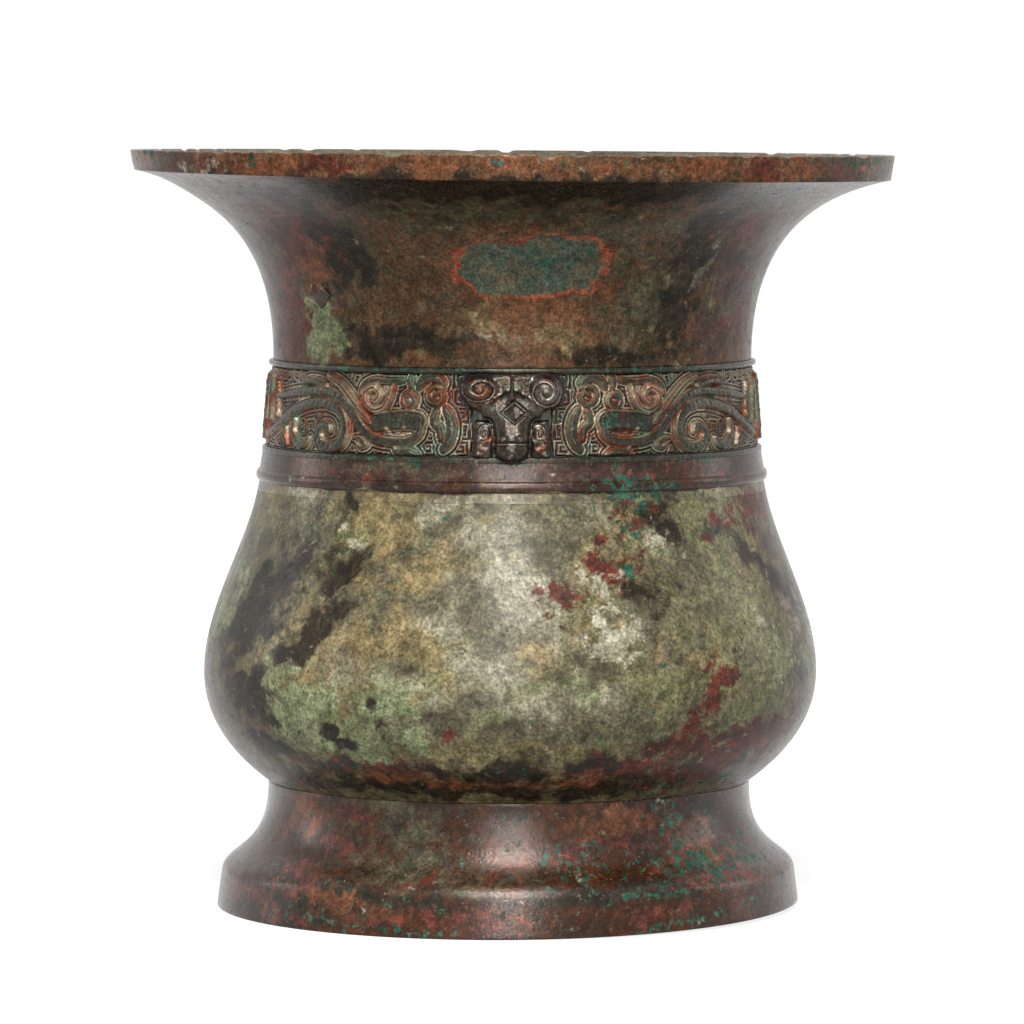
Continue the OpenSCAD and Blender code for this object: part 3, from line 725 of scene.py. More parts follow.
def distance_to_line(u, v, line):
    """Distance of points to a line, and how far along it the nearest place is, from 0 to 1."""
    best = np.full(u.shape, 1e9)
    along = np.zeros(u.shape)
    last = len(line) - 1
    for i in range(last):
        (u0, v0), (u1, v1) = line[i], line[i + 1]
        du, dv = u1 - u0, v1 - v0
        t = np.clip(((u - u0) * du + (v - v0) * dv) / (du * du + dv * dv + 1e-9), 0, 1)
        away = np.hypot(u - u0 - t * du, v - v0 - t * dv)
        nearer = away < best
        best = np.where(nearer, away, best)
        along = np.where(nearer, (i + t) / last, along)
    return best, along


def thunder_pattern(u, v, tile=4.4, pitch=1.1):
    """Squared spirals of the ground, from 0 in their grooves to 1 on their ridges."""
    column = np.floor(u / tile)
    row = np.floor(v / tile)
    x = (u / tile - column - 0.5) * np.where((column + row) % 2 == 0, 1, -1)
    y = v / tile - row - 0.5
    out = np.maximum(np.abs(x), np.abs(y)) * tile
    turn = np.arctan2(y, x) / (2 * math.pi)
    return smoothstep(-0.35, 0.35, np.cos(2 * math.pi * (out / pitch + turn)))


def on_panel(x, y):
    """Place along and up a panel of a pixel on the left front dragon."""
    azimuth, z = from_photo(x, y)
    return GROUND_MID_R * (-azimuth - DRAGON_FROM), z - FRIEZE_Z - FILLET_H


def panel_line(points):
    """A smooth line along pixels on the left front dragon, as places along and up a panel."""
    return smooth_line([on_panel(x, y) for x, y in points])


def dragon_ribs():
    """Width, scoring and middle line of each rib, in millimetres."""
    for width, scored, points in RIBS:
        yield width * PX, scored, panel_line(points)
    yield SEAM_RIB[0], 0, smooth_line(SEAM_RIB[1])


def groove_line(away, half_w=0.15):
    return np.exp(-(away / half_w) ** 2)


def dragon_relief(u, v):
    """Height of the relief over a panel's ground, its bright lines and its dark grooves."""
    scored = np.zeros(u.shape)
    cheek, _ = distance_to_line(u, v, panel_line(CHEEK[1]))
    clear = cheek - CHEEK[0] * PX / 2
    height = CHEEK_PROUD * smoothstep(0, 0.9, -clear)
    for width, is_scored, line in dragon_ribs():
        away, along = distance_to_line(u, v, line)
        fullness = np.sqrt(np.sin(math.pi * np.clip(along, 0.001, 0.999)))
        half_w = width / 2 * mix(RIB_END, 1, fullness)
        body = smoothstep(0, RIB_BEVEL, half_w - away)
        crown = DRAGON_PROUD * mix(RIB_SIDE, 1, np.cos(0.5 * math.pi * np.clip(away / half_w, 0, 1)))
        height = np.where(body > 0, np.maximum(height * (1 - body), body * crown), height)
        line_here = is_scored * groove_line(away - 0.4 * half_w)
        scored = np.where(body > 0, line_here * body, scored)
        clear = np.minimum(clear, away - half_w)
    mouth, _ = distance_to_line(u, v, panel_line(MOUTH))
    scored = np.maximum(scored, groove_line(mouth, MOUTH_HALF_W))
    eye_u, eye_v = on_panel(*DRAGON_EYE)
    eye = np.hypot(u - eye_u, v - eye_v)
    ring = smoothstep(0.75, 0.4, np.abs(eye - EYE_R + 0.3))
    pupil = np.sqrt(np.clip(1 - (eye / PUPIL_R) ** 2, 0, 1))
    in_eye = eye < EYE_R + 0.5
    height = np.where(in_eye, np.maximum(DRAGON_PROUD * ring, PUPIL_PROUD * pupil), height)
    scored = np.where(in_eye, 0, scored)
    clear = np.minimum(clear, eye - EYE_R - 0.45)
    echo = smoothstep(-0.2, 0.5, np.cos(2 * math.pi * (clear - 0.6) / ECHO_PITCH))
    ground = np.where(clear < ECHO_REACH, echo, thunder_pattern(u, v)) * smoothstep(0.1, 0.4, clear)
    height = np.maximum(height, GROUND_PROUD * ground)
    edge = np.minimum(np.minimum(u - PANEL_START, DRAGON_L - u), np.minimum(v, GROUND_H - v))
    horn_across = GROUND_MID_R * np.sin(DRAGON_FROM + u / GROUND_MID_R) - HORN_X
    from_horn = np.hypot(horn_across, v + FILLET_H - HORN_V) - HORN_R
    height *= smoothstep(0, 0.5, np.minimum(edge, from_horn))
    height -= SCORE_DEPTH * scored
    height -= GROUND_SUNK * smoothstep(0, 0.35, clear)
    outline = groove_line(clear + 0.12, 0.2)
    near = smoothstep(ECHO_REACH, 0, clear)
    bright = np.maximum(np.maximum(0.8 * outline, scored), mix(0.4, 0.8, near) * ground)
    deep = smoothstep(0.3, 0.05, height + GROUND_SUNK) * (clear > 0)
    return height, bright, deep


def panel_points(u, v, high):
    """Points over a front right panel's ground."""
    ground = mix(GROUND_LOW_R, GROUND_HIGH_R, v / GROUND_H)
    azimuth = DRAGON_FROM + u / GROUND_MID_R
    radius = ground + high
    return np.stack([radius * np.sin(azimuth), -radius * np.cos(azimuth), FRIEZE_Z + FILLET_H + v], -1)


def dragon_panel():
    """Points, faces, bright lines and dark grooves of a front right panel: a closed plate in relief."""
    columns = int((DRAGON_L - PANEL_START) / PANEL_STEP)
    rows = int(GROUND_H / PANEL_STEP)
    u, v = np.meshgrid(
        np.linspace(PANEL_START, DRAGON_L, columns),
        np.linspace(PANEL_MARGIN, GROUND_H - PANEL_MARGIN, rows), indexing="xy")
    high, bright, deep = dragon_relief(u, v)
    wear = 0.07 * waves(u * 0.35, v, 21, around=12, height=3)
    front = panel_points(u, v, high + wear * (high > 0.2))
    low_back, high_back = [panel_points(u[r], v[r], -PANEL_SEAT) for r in (0, -1)]
    points = np.vstack([low_back, front.reshape(-1, 3), high_back])
    faces = grid_faces(rows + 2, columns, True, False).tolist()
    numbers = np.arange(len(points)).reshape(-1, columns)
    faces += [numbers[:, 0].tolist(), numbers[::-1, -1].tolist()]
    behind = np.zeros(columns)
    shades = {
        "bright": np.concatenate([behind, bright.ravel(), behind]),
        "deep": np.concatenate([behind, deep.ravel(), behind])}
    return points, faces, shades


# Animal masks, as a field of distances: across, out of the ground and up

# The field's step, how far it reaches to the sides, out, behind the ground and past the frieze's
# edges, and how far the mask's back is sunk in the ground
MASK_STEP = 0.24
MASK_HALF_W = 14.4
MASK_OUT = 9.6
MASK_BEHIND = 2.4
MASK_SPARE = 0.6
MASK_SUNK = 0.35


def capsule(p, a, b, r0, r1=None):
    """Distance to a rod with round ends, thicker or thinner towards b."""
    a = np.array(a, float)
    way = np.array(b, float) - a
    t = np.clip(((p - a) @ way) / (way @ way + 1e-9), 0, 1)
    return np.linalg.norm(p - a - t[..., None] * way, axis=-1) - (r0 + ((r1 or r0) - r0) * t)


def ellipsoid(p, middle, radii):
    scaled = (p - np.array(middle, float)) / np.array(radii, float)
    return (np.linalg.norm(scaled, axis=-1) - 1) * min(radii)


def blend(a, b, soft):
    """The smaller of two distances, rounded where they meet."""
    share = np.clip(0.5 + 0.5 * (b - a) / soft, 0, 1)
    return mix(b, a, share) - soft * share * (1 - share)


def slab(p, middle, halves, rounded):
    """Distance to a block with rounded edges."""
    q = np.abs(p - np.array(middle, float)) - np.array(halves, float) + rounded
    return np.linalg.norm(np.maximum(q, 0), axis=-1) + np.minimum(q.max(-1), 0) - rounded


def coil_groove(x, up, middle, halves, turns):
    """Depth, from 0 to 1, of a groove that winds in to the middle of an oval."""
    across = (x - middle[0]) / halves[0]
    over = (up - middle[1]) / halves[1]
    away = np.hypot(across, over)
    wound = np.cos(2 * math.pi * (turns * away - np.arctan2(over, across) / (2 * math.pi)))
    return smoothstep(0.2, 0.9, wound) * smoothstep(1.0, 0.85, away) * smoothstep(0.12, 0.3, away)


# The face from its chin to its brow: height, half width and how far it stands out
FACE = [
    (0.2, 2.6, 3.0), (1.2, 3.9, 5.2), (2.6, 4.5, 6.5), (4.2, 4.7, 6.6), (5.1, 4.7, 6.0),
    (5.7, 4.8, 6.9), (6.6, 4.8, 6.8), (8, 4.9, 6.3), (9.4, 5.0, 5.8), (10.6, 5.4, 5.4),
    (11.6, 6.2, 5.1), (12.8, 7.6, 4.8), (14.2, 10.4, 4.3), (15.8, 12.0, 3.6), (18, 12.6, 2.7),
    (20.5, 12.6, 2.4), (22, 12.0, 2.1), (23, 10.8, 1.4),
]
# The horns: their middle, half sizes, half sizes of the coil on them, and its turns and depth
LEFT_HORN = ((-8.2, 0.4, 19.1), (5.2, 3.8, 3.9), (5.2, 3.8))
RIGHT_HORN = ((8.6, 0.4, 18.4), (4.6, 3.8, 4.7), (4.5, 4.6))
HORN_TURNS = 2.2
HORN_SCORE = 0.34
# The muzzle's tip, and the lobes beside it: middle, half sizes, rounding, and a lobe's coil and depth
MUZZLE = ((0, 4.1, 3.2), (4.2, 3.0, 2.9))
LOBE = ((7.4, 0.2, 6.1), (2.7, 1.9, 5.1), 1.4)
LOBE_COIL = ((7.2, 7.8), (2.1, 2.6), 1.6)
LOBE_SCORE = 0.3
# Ridges of the forehead and the brow, and the mouth's slot: both ends, and the radius there. The
# nostrils: place and radius
FOREHEAD_RIDGE = ((0, 3.3, 22), (0, 3.6, 17), 0.4, 0.6)
BROW_RIDGE = ((0.9, 2.4, 17.0), (6.4, 2.6, 13.0), 1.4)
MOUTH_SLOT = ((-4.0, 7.2, 5.3), (4.0, 7.0, 5.3), 0.55)
NOSTRIL = (1.9, 6.6)
NOSTRIL_R = 0.55
# The lozenge on the brow, a little aside: its middle, its half sizes, those of the line round it, and
# how far its two faces stand out and lean
LOZENGE = (0.7, 13.2)
LOZENGE_HALF = (2.7, 2.2)
LOZENGE_RIM = (3.3, 2.7)
LOZENGE_OUT = 5.6
LOZENGE_LEAN_LEFT = 0.5
LOZENGE_LEAN_RIGHT = 0.22


def face_form(x, out, up):
    """Distance out of the face, whose section is a little squarer at the muzzle than at the brow."""
    line = smooth_line(FACE)
    half_w = np.interp(up, line[:, 0], line[:, 1])
    high = np.interp(up, line[:, 0], line[:, 2])
    squareness = mix(3.6, 3.0, smoothstep(9, 15, up))
    crown = np.sqrt(np.clip(1 - np.clip(x / half_w, 0, 1) ** squareness, 0, 1))
    past_end = np.maximum(FACE[0][0] - up, up - FACE[-1][0])
    return np.maximum((out - high * crown) * 0.6, np.maximum(x - half_w, past_end))


def horn(p, middle, halves, coil):
    """Distance to a horn, and the depth of the groove that winds into it."""
    outward = math.copysign(1, middle[0])
    coil_middle = (abs(middle[0]), middle[2])
    groove = coil_groove(outward * p[..., 0], p[..., 2], coil_middle, coil, HORN_TURNS)
    return ellipsoid(p, middle, halves), groove


def mask_distance(p):
    """Distance to the mask's surface, negative inside."""
    left = p[..., 0] < LOZENGE[0]
    beside = np.abs(p[..., 0] - LOZENGE[0])
    left_horn, left_coil = horn(p, *LEFT_HORN)
    right_horn, right_coil = horn(p, *RIGHT_HORN)
    coil = np.where(left, left_coil, right_coil)
    p = np.concatenate([np.abs(p[..., :1]), p[..., 1:]], -1)
    x, out, up = p[..., 0], p[..., 1], p[..., 2]
    face = face_form(x, out, up)
    face = blend(face, np.minimum(left_horn, right_horn), 0.6)
    face = blend(face, ellipsoid(p, *MUZZLE), 0.3)
    lumps = 0.14 * waves(0.9 * x, up, 17, around=3, height=4)
    face = blend(face, slab(p, *LOBE) - lumps, 0.4)
    face = blend(face, capsule(p, *FOREHEAD_RIDGE), 0.8)
    face = blend(face, capsule(p, *BROW_RIDGE), 0.9)
    over = np.abs(up - LOZENGE[1])
    lean = np.where(left, LOZENGE_LEAN_LEFT * beside, LOZENGE_LEAN_RIGHT * (up - LOZENGE[1]))
    edge = beside / LOZENGE_HALF[0] + over / LOZENGE_HALF[1] - 1
    lozenge = np.maximum(edge * 2, 0.9 * (out - (LOZENGE_OUT - lean)))
    face = blend(face, np.maximum(lozenge, 3.5 - out), 0.15)
    face = face + HORN_SCORE * coil * (up > 13.5)
    worn = waves(0.5 * x, up, 18, around=6, height=5)
    worn = worn + waves(1.6 * x + 0.7, up, 19, around=6, height=1.6)
    face = face + 0.025 * worn
    face = face + LOBE_SCORE * coil_groove(x, up, *LOBE_COIL) * (x > 5)
    # Scored lines: round the lozenge, the nostrils and the mouth
    rim = np.abs(beside / LOZENGE_RIM[0] + over / LOZENGE_RIM[1] - 1) * 2.4
    face = face + 0.45 * groove_line(rim, 0.28) * (out > 3)
    nostril = np.hypot(x - NOSTRIL[0], up - NOSTRIL[1])
    face = face + 0.5 * groove_line(nostril, NOSTRIL_R) * (out > 5)
    return np.maximum(face, -capsule(p, *MOUTH_SLOT))


def surface_net(field):
    """Points, in grid steps, and quads of the surface where a field of values crosses zero."""
    cells = np.array(field.shape) - 1
    total = np.zeros((*cells, 3))
    count = np.zeros(cells)
    steps = [np.arange(n) for n in field.shape]
    where = np.stack(np.meshgrid(*steps, indexing="ij"), -1).astype(float)
    crossings = []
    for axis in range(3):
        first, second = (np.take(field, range(k, cells[axis] + k), axis) for k in (0, 1))
        crossing = (first < 0) != (second < 0)
        place = np.take(where, range(cells[axis]), axis)
        place[..., axis] += np.where(crossing, first / np.where(crossing, first - second, 1), 0)
        crossings.append((crossing, first < 0))
        others = [k for k in range(3) if k != axis]
        for da in (0, 1):
            for db in (0, 1):
                cut = [slice(None)] * 3
                cut[others[0]] = slice(da, da + cells[others[0]])
                cut[others[1]] = slice(db, db + cells[others[1]])
                here = crossing[tuple(cut)]
                total += np.where(here[..., None], place[tuple(cut)], 0)
                count += here
    active = count > 0
    number = np.full(cells, -1)
    number[active] = np.arange(active.sum())
    points = total[active] / count[active][:, None]
    quads = []
    for axis, (crossing, starts_inside) in enumerate(crossings):
        b, c = (axis + 1) % 3, (axis + 2) % 3
        spots = np.argwhere(crossing)
        inner = (spots[:, b] > 0) & (spots[:, c] > 0)
        inner &= (spots[:, b] < cells[b]) & (spots[:, c] < cells[c])
        spots = spots[inner]
        corners = []
        for back_b, back_c in ((1, 1), (0, 1), (0, 0), (1, 0)):
            corner = spots.copy()
            corner[:, b] -= back_b
            corner[:, c] -= back_c
            corners.append(number[tuple(corner.T)])
        quad = np.stack(corners, 1)
        flip = ~starts_inside[tuple(spots.T)]
        quad[flip] = quad[flip][:, ::-1]
        quads.append(quad)
    return points, np.vstack(quads)


def creases(points, faces, rounds=3):
    """How hollow the surface is at each point: above 0 in creases, below 0 on ridges."""
    pairs = np.vstack([faces[:, [0, 1]], faces[:, [1, 2]], faces[:, [2, 3]], faces[:, [3, 0]]])
    pairs = np.vstack([pairs, pairs[:, ::-1]])
    degree = np.bincount(pairs[:, 0], minlength=len(points)).astype(float)
    middle = np.zeros_like(points)
    np.add.at(middle, pairs[:, 0], points[pairs[:, 1]])
    middle /= degree[:, None]
    a, b, c, d = (points[faces[:, k]] for k in range(4))
    face_way = np.cross(c - a, d - b)
    way = np.zeros_like(points)
    for k in range(4):
        np.add.at(way, faces[:, k], face_way)
    way /= np.linalg.norm(way, axis=1)[:, None] + 1e-9
    hollow = ((middle - points) * way).sum(1)
    for _ in range(rounds):
        spread = np.zeros(len(points))
        np.add.at(spread, pairs[:, 0], hollow[pairs[:, 1]])
        hollow = 0.5 * hollow + 0.5 * spread / degree
    return hollow


def mask_mesh():
    """Points, faces and creases of the front mask."""
    across = np.arange(-MASK_HALF_W, MASK_HALF_W + MASK_STEP, MASK_STEP)
    out = np.arange(-MASK_BEHIND, MASK_OUT, MASK_STEP)
    up = np.arange(-MASK_SPARE, FRIEZE_H + MASK_SPARE, MASK_STEP)
    p = np.stack(np.meshgrid(across, out, up, indexing="ij"), -1)
    field = mask_distance(p)
    radius = np.hypot(p[..., 0], GROUND_MID_R + p[..., 1])
    ground = mix(GROUND_LOW_R, GROUND_HIGH_R, (p[..., 2] - FILLET_H) / GROUND_H)
    field = np.maximum(field, ground - MASK_SUNK - radius)
    points, faces = surface_net(field)
    points = np.array([across[0], out[0], up[0]]) + points * MASK_STEP
    placed = np.stack([points[:, 0], -GROUND_MID_R - points[:, 1], FRIEZE_Z + points[:, 2]], 1)
    return placed, faces, creases(placed, faces)


# Materials

def colour(red, green, blue):
    """A colour as seen on a screen, from 0 to 255, as Blender's linear colour."""
    channels = []
    for value in (red, green, blue):
        share = value / 255
        channels.append(share / 12.92 if share <= 0.04045 else ((share + 0.055) / 1.055) ** 2.4)
    return (*channels, 1)


class Graph:
    """A material's nodes, wired by short calls. A socket or a number may be given as an input."""

    def __init__(self, name):
        self.material = bpy.data.materials.new(name)
        self.material.use_nodes = True
        self.tree = self.material.node_tree
        self.shader = self.tree.nodes["Principled BSDF"]
        self.place = self.add("ShaderNodeTexCoord").outputs["Object"]

    def put(self, socket, value):
        if isinstance(value, bpy.types.NodeSocket):
            self.tree.links.new(value, socket)
        else:
            socket.default_value = value

    def fill(self, node, inputs):
        """Gives a node its inputs by their names or numbers."""
        for label, value in inputs.items():
            self.put(node.inputs[label], value)
        return node

    def add(self, kind, **settings):
        node = self.tree.nodes.new(kind)
        for key, value in settings.items():
            setattr(node, key, value)
        return node

    def noise(self, scale, detail=5, roughness=0.6, offset=0, distortion=0):
        return self.fill(self.add("ShaderNodeTexNoise", noise_dimensions="4D"), {
            "Vector": self.place, "W": offset, "Scale": scale, "Detail": detail,
            "Roughness": roughness, "Distortion": distortion})

    def noise_channels(self, *settings):
        """Three values of one noise, each uneven in its own way."""
        noise = self.noise(*settings).outputs["Color"]
        return tuple(self.fill(self.add("ShaderNodeSeparateColor"), {0: noise}).outputs)

    def math(self, operation, a, b):
        return self.fill(self.add("ShaderNodeMath", operation=operation), {0: a, 1: b}).outputs[0]

    def plus(self, a, b):
        return self.math("ADD", a, b)

    def times(self, a, b):
        return self.math("MULTIPLY", a, b)

    def ramp(self, value, low, high, out_low=0.0, out_high=1.0):
        node = self.add("ShaderNodeMapRange", interpolation_type="SMOOTHSTEP")
        self.fill(node, {"Value": value, "From Min": low, "From Max": high})
        return self.fill(node, {"To Min": out_low, "To Max": out_high}).outputs["Result"]

    def mix(self, share, a, b, mode="MIX"):
        node = self.add("ShaderNodeMix", data_type="RGBA", blend_type=mode)
        for socket, value in zip([i for i in node.inputs if i.enabled], (share, a, b)):
            self.put(socket, value)
        return next(o for o in node.outputs if o.enabled)

    def grey(self, value):
        node = self.add("ShaderNodeCombineColor")
        return self.fill(node, {0: value, 1: value, 2: value}).outputs[0]

    def spots(self, scale):
        """Distance to the nearest of many scattered points."""
        node = self.add("ShaderNodeTexVoronoi", feature="F1")
        return self.fill(node, {"Vector": self.place, "Scale": scale}).outputs["Distance"]

    def attribute(self, name):
        return self.add("ShaderNodeAttribute", attribute_name=name).outputs["Fac"]


# The patina's layers from the lowest to the highest, the plum one partly painted reflection and the
# dark one partly painted shade: two colours, how many times a metre the border's unevenness
# changes, how ragged and how soft it is, and how much rougher the layer lies
LAYERS = {
    "plum_and_edge_sheen": (colour(50, 36, 31), colour(76, 54, 46), 60, 0.9, 0.24, 0.0),
    "moss": (colour(54, 49, 36), colour(80, 73, 55), 110, 1.2, 0.24, 0.02),
    "tan": (colour(94, 82, 56), colour(125, 109, 77), 90, 1.1, 0.2, 0.04),
    "olive": (colour(76, 74, 49), colour(104, 103, 71), 90, 1.1, 0.2, 0.04),
    "celadon": (colour(104, 100, 80), colour(137, 132, 112), 100, 1.1, 0.24, 0.0),
    "jade": (colour(92, 96, 67), colour(128, 135, 101), 120, 1.0, 0.14, 0.04),
    "smoke": (colour(66, 62, 48), colour(91, 86, 67), 90, 1.2, 0.34, 0.0),
    "dark": (colour(26, 21, 15), colour(48, 40, 29), 120, 1.1, 0.18, 0.0),
    "red": (colour(58, 30, 23), colour(94, 46, 35), 220, 1.5, 0.14, 0.04),
    "orange": (colour(72, 44, 26), colour(106, 64, 41), 190, 1.1, 0.2, 0.04),
    "teal": (colour(84, 77, 60), colour(57, 72, 62), 90, 0.5, 0.04, 0.0),
    "malachite": (colour(18, 48, 37), colour(42, 81, 62), 420, 2.0, 0.1, 0.2),
    "crust": (colour(106, 102, 83), colour(148, 143, 123), 260, 1.6, 0.16, 0.2),
}
# The teal patches have a thin rim of this colour
RIM = colour(132, 66, 46)
INSIDE_BROWN = colour(52, 44, 33)
INSIDE_OLIVE = colour(82, 76, 56)
INSIDE_GREEN = colour(88, 108, 82)
FLECK = colour(132, 122, 100)
PIT = colour(34, 27, 20)


def patina(graph, base, everywhere):
    """Colour, extra roughness and height of bronze under its patina.

    base holds three tones of the bronze, and everywhere a weight of some layers all over it.
    """
    cloud = graph.noise_channels(42, 6, 0.62, 1)
    blotch = graph.noise_channels(190, 8, 0.7, 2)
    speck = graph.noise_channels(560, 4, 0.6, 4)
    grain = graph.noise_channels(1300, 4, 0.66, 3)
    shade = graph.mix(graph.ramp(cloud[0], 0.38, 0.62), base[0], base[1])
    shade = graph.mix(graph.ramp(blotch[0], 0.46, 0.62), shade, base[2])
    rough = 0.0
    for number, (layer, settings) in enumerate(LAYERS.items()):
        low, high, scale, ragged, soft, extra = settings
        border = graph.noise(scale, 9, 0.68, 11 + number, 0.4).outputs["Fac"]
        swing = graph.times(graph.math("SUBTRACT", border, 0.5), 2 * ragged)
        ground = graph.plus(swing, everywhere.get(layer, 0.0))
        weight = graph.plus(graph.attribute(layer), ground)
        share = graph.ramp(weight, 0.5 - soft, 0.5 + soft)
        if layer == "teal":
            broken = graph.ramp(cloud[2], 0.4, 0.54)
            shade = graph.mix(graph.times(graph.ramp(weight, 0.4, 0.45), broken), shade, RIM)
        tone = graph.mix(graph.ramp(blotch[1], 0.38, 0.62), low, high)
        shade = graph.mix(share, shade, tone)
        rough = graph.plus(rough, graph.times(share, extra))
    inner = graph.mix(graph.ramp(cloud[1], 0.4, 0.6), INSIDE_BROWN, INSIDE_OLIVE)
    inner = graph.mix(graph.ramp(blotch[2], 0.58, 0.68), inner, INSIDE_GREEN)
    shade = graph.mix(graph.attribute("inside"), shade, inner)
    broad_grime = graph.ramp(blotch[2], 0.34, 0.56, 0.74, 1.06)
    grime = graph.times(broad_grime, graph.ramp(grain[0], 0.36, 0.64, 0.58, 1.4))
    grime = graph.times(grime, graph.ramp(speck[0], 0.38, 0.62, 0.74, 1.24))
    shade = graph.mix(1.0, shade, graph.grey(grime), "MULTIPLY")
    fleck_here = graph.ramp(speck[1], 0.5, 0.62, 0, 0.6)
    shade = graph.mix(graph.times(graph.ramp(grain[1], 0.58, 0.66), fleck_here), shade, FLECK)
    marks = graph.ramp(graph.noise(330, 6, 0.62, 5).outputs["Fac"], 0.615, 0.66)
    marks = graph.times(marks, graph.ramp(cloud[1], 0.42, 0.56, 0.1, 0.85))
    pit_here = graph.ramp(cloud[2], 0.46, 0.58)
    pit = graph.times(graph.ramp(graph.spots(430), 0.24, 0.1), pit_here)
    pit = graph.math("MAXIMUM", graph.times(pit, 0.4), marks)
    shade = graph.mix(pit, shade, PIT)
    height = graph.plus(graph.times(blotch[1], 0.7), graph.times(grain[0], 0.6))
    height = graph.math("SUBTRACT", height, graph.times(pit, 0.5))
    return shade, rough, height


BUMP_DEPTH = 0.0005


def bump(graph, height, strength):
    node = graph.add("ShaderNodeBump")
    graph.fill(node, {"Height": height, "Strength": strength, "Distance": BUMP_DEPTH})
    graph.fill(graph.shader, {"Normal": node.outputs["Normal"]})


def dress(graph, shade, roughness, metallic, gloss):
    graph.fill(graph.shader, {
        "Base Color": shade, "Roughness": roughness, "Metallic": metallic, "Specular IOR Level": gloss})


def wall_material(name, base, everywhere, metallic, gloss, roughness=0.28):
    """Bronze wall under a smooth patina."""
    graph = Graph(name)
    shade, rough, height = patina(graph, base, everywhere)
    uneven = graph.ramp(height, 0.3, 0.8, roughness + 0.08, roughness - 0.06)
    dress(graph, shade, graph.plus(uneven, rough), metallic, gloss)
    bump(graph, height, 0.25)
    return graph.material


def filling(graph, noise, turns, tones):
    """A colour that turns from the first of three tones to the others by two values of a noise."""
    fill = graph.mix(graph.ramp(noise[0], *turns[0]), tones[0], tones[1])
    return graph.mix(graph.ramp(noise[1], *turns[1]), fill, tones[2])


RELIEF_BRONZE = (colour(36, 36, 29), colour(62, 61, 48), colour(48, 37, 29))
RELIEF_LAYERS = {"malachite": 0.1, "red": 0.02}
RELIEF_FILL = (colour(150, 82, 50), colour(180, 160, 130), colour(136, 148, 122))
GROOVE_DARK = colour(14, 11, 9)


def relief_material(name):
    """Dark bronze relief, with thin bright lines of orange and pale crust, and dark grooves."""
    graph = Graph(name)
    shade, rough, height = patina(graph, RELIEF_BRONZE, RELIEF_LAYERS)
    noise = graph.noise_channels(110, 5, 0.6, 31)
    fill = filling(graph, noise, ((0.44, 0.56), (0.54, 0.62)), RELIEF_FILL)
    share = graph.times(graph.attribute("bright"), graph.ramp(noise[2], 0.36, 0.56, 0.35, 1))
    shade = graph.mix(share, shade, fill)
    shade = graph.mix(graph.times(graph.attribute("deep"), 0.95), shade, GROOVE_DARK)
    dress(graph, shade, graph.plus(rough, 0.25), 0.4, 0.3)
    bump(graph, height, 0.4)
    return graph.material


MASK_BRONZE = (colour(50, 46, 41), colour(82, 77, 70), colour(62, 46, 36))
MASK_FILL = (colour(26, 22, 18), colour(96, 50, 37), colour(80, 104, 86))
MASK_WORN_AND_SHEEN = colour(128, 121, 111)


def mask_material(name):
    """Polished dark bronze, lighter on its ridges by wear and by a painted highlight, and red and
    green in its creases.
    """
    graph = Graph(name)
    shade, _, height = patina(graph, MASK_BRONZE, {})
    noise = graph.noise_channels(220, 5, 0.6, 41)
    fill = filling(graph, noise, ((0.52, 0.64), (0.56, 0.66)), MASK_FILL)
    hollow = graph.ramp(graph.attribute("crease"), 0.004, 0.03)
    shade = graph.mix(graph.times(hollow, 0.85), shade, fill)
    # Ridges get a lighter grey: partly wear, partly a painted highlight.
    ridge_wear_and_sheen = graph.ramp(graph.attribute("crease"), -0.004, -0.016)
    shade = graph.mix(graph.times(ridge_wear_and_sheen, 0.55), shade, MASK_WORN_AND_SHEEN)
    dress(graph, shade, graph.ramp(height, 0.3, 0.8, 0.32, 0.22), 0.7, 0.13)
    bump(graph, height, 0.3)
    return graph.material


# Pieces

# Bronze under the patina: three tones, and the weight of layers all over it
BROWN = (colour(64, 46, 30), colour(102, 69, 47), colour(68, 56, 40))
RED_BROWN = (colour(34, 17, 7), colour(68, 36, 18), colour(42, 29, 15))
GREEN_BROWN = (colour(90, 81, 54), colour(120, 109, 77), colour(76, 64, 43))
NECK_LAYERS = {"red": 0.06, "moss": 0.14, "tan": 0.04, "dark": 0.16, "orange": 0.12}
BELLY_LAYERS = {"olive": 0.26, "jade": 0.08, "dark": 0.1, "tan": 0.18, "smoke": 0.24}
FOOT_LAYERS = {"red": 0.04, "dark": 0.28, "malachite": 0.03, "moss": 0.06, "orange": 0.08}

neck_material = wall_material("neck_bronze", BROWN, NECK_LAYERS, 0.12, 0.08)
belly_material = wall_material("belly_bronze", GREEN_BROWN, BELLY_LAYERS, 0.0, 0.13)
foot_material = wall_material("foot_bronze", RED_BROWN, FOOT_LAYERS, 0.25, 0.3, 0.25)
frieze_material = relief_material("frieze_bronze")
mask_bronze = mask_material("polished_mask")


# The neck's spacer in the photograph, and the dent round it: depth, and from where to where it rises
SPACER_PX = (325, 293)
DENT = 0.3
DENT_FLAT_R = 3.9
DENT_R = 4.6
# How far the rim is chipped in and down, and how much thinner the lip gets on the left
CHIP_IN = 0.25
CHIP_DOWN = 0.7
LIP_THINNED = 1.7


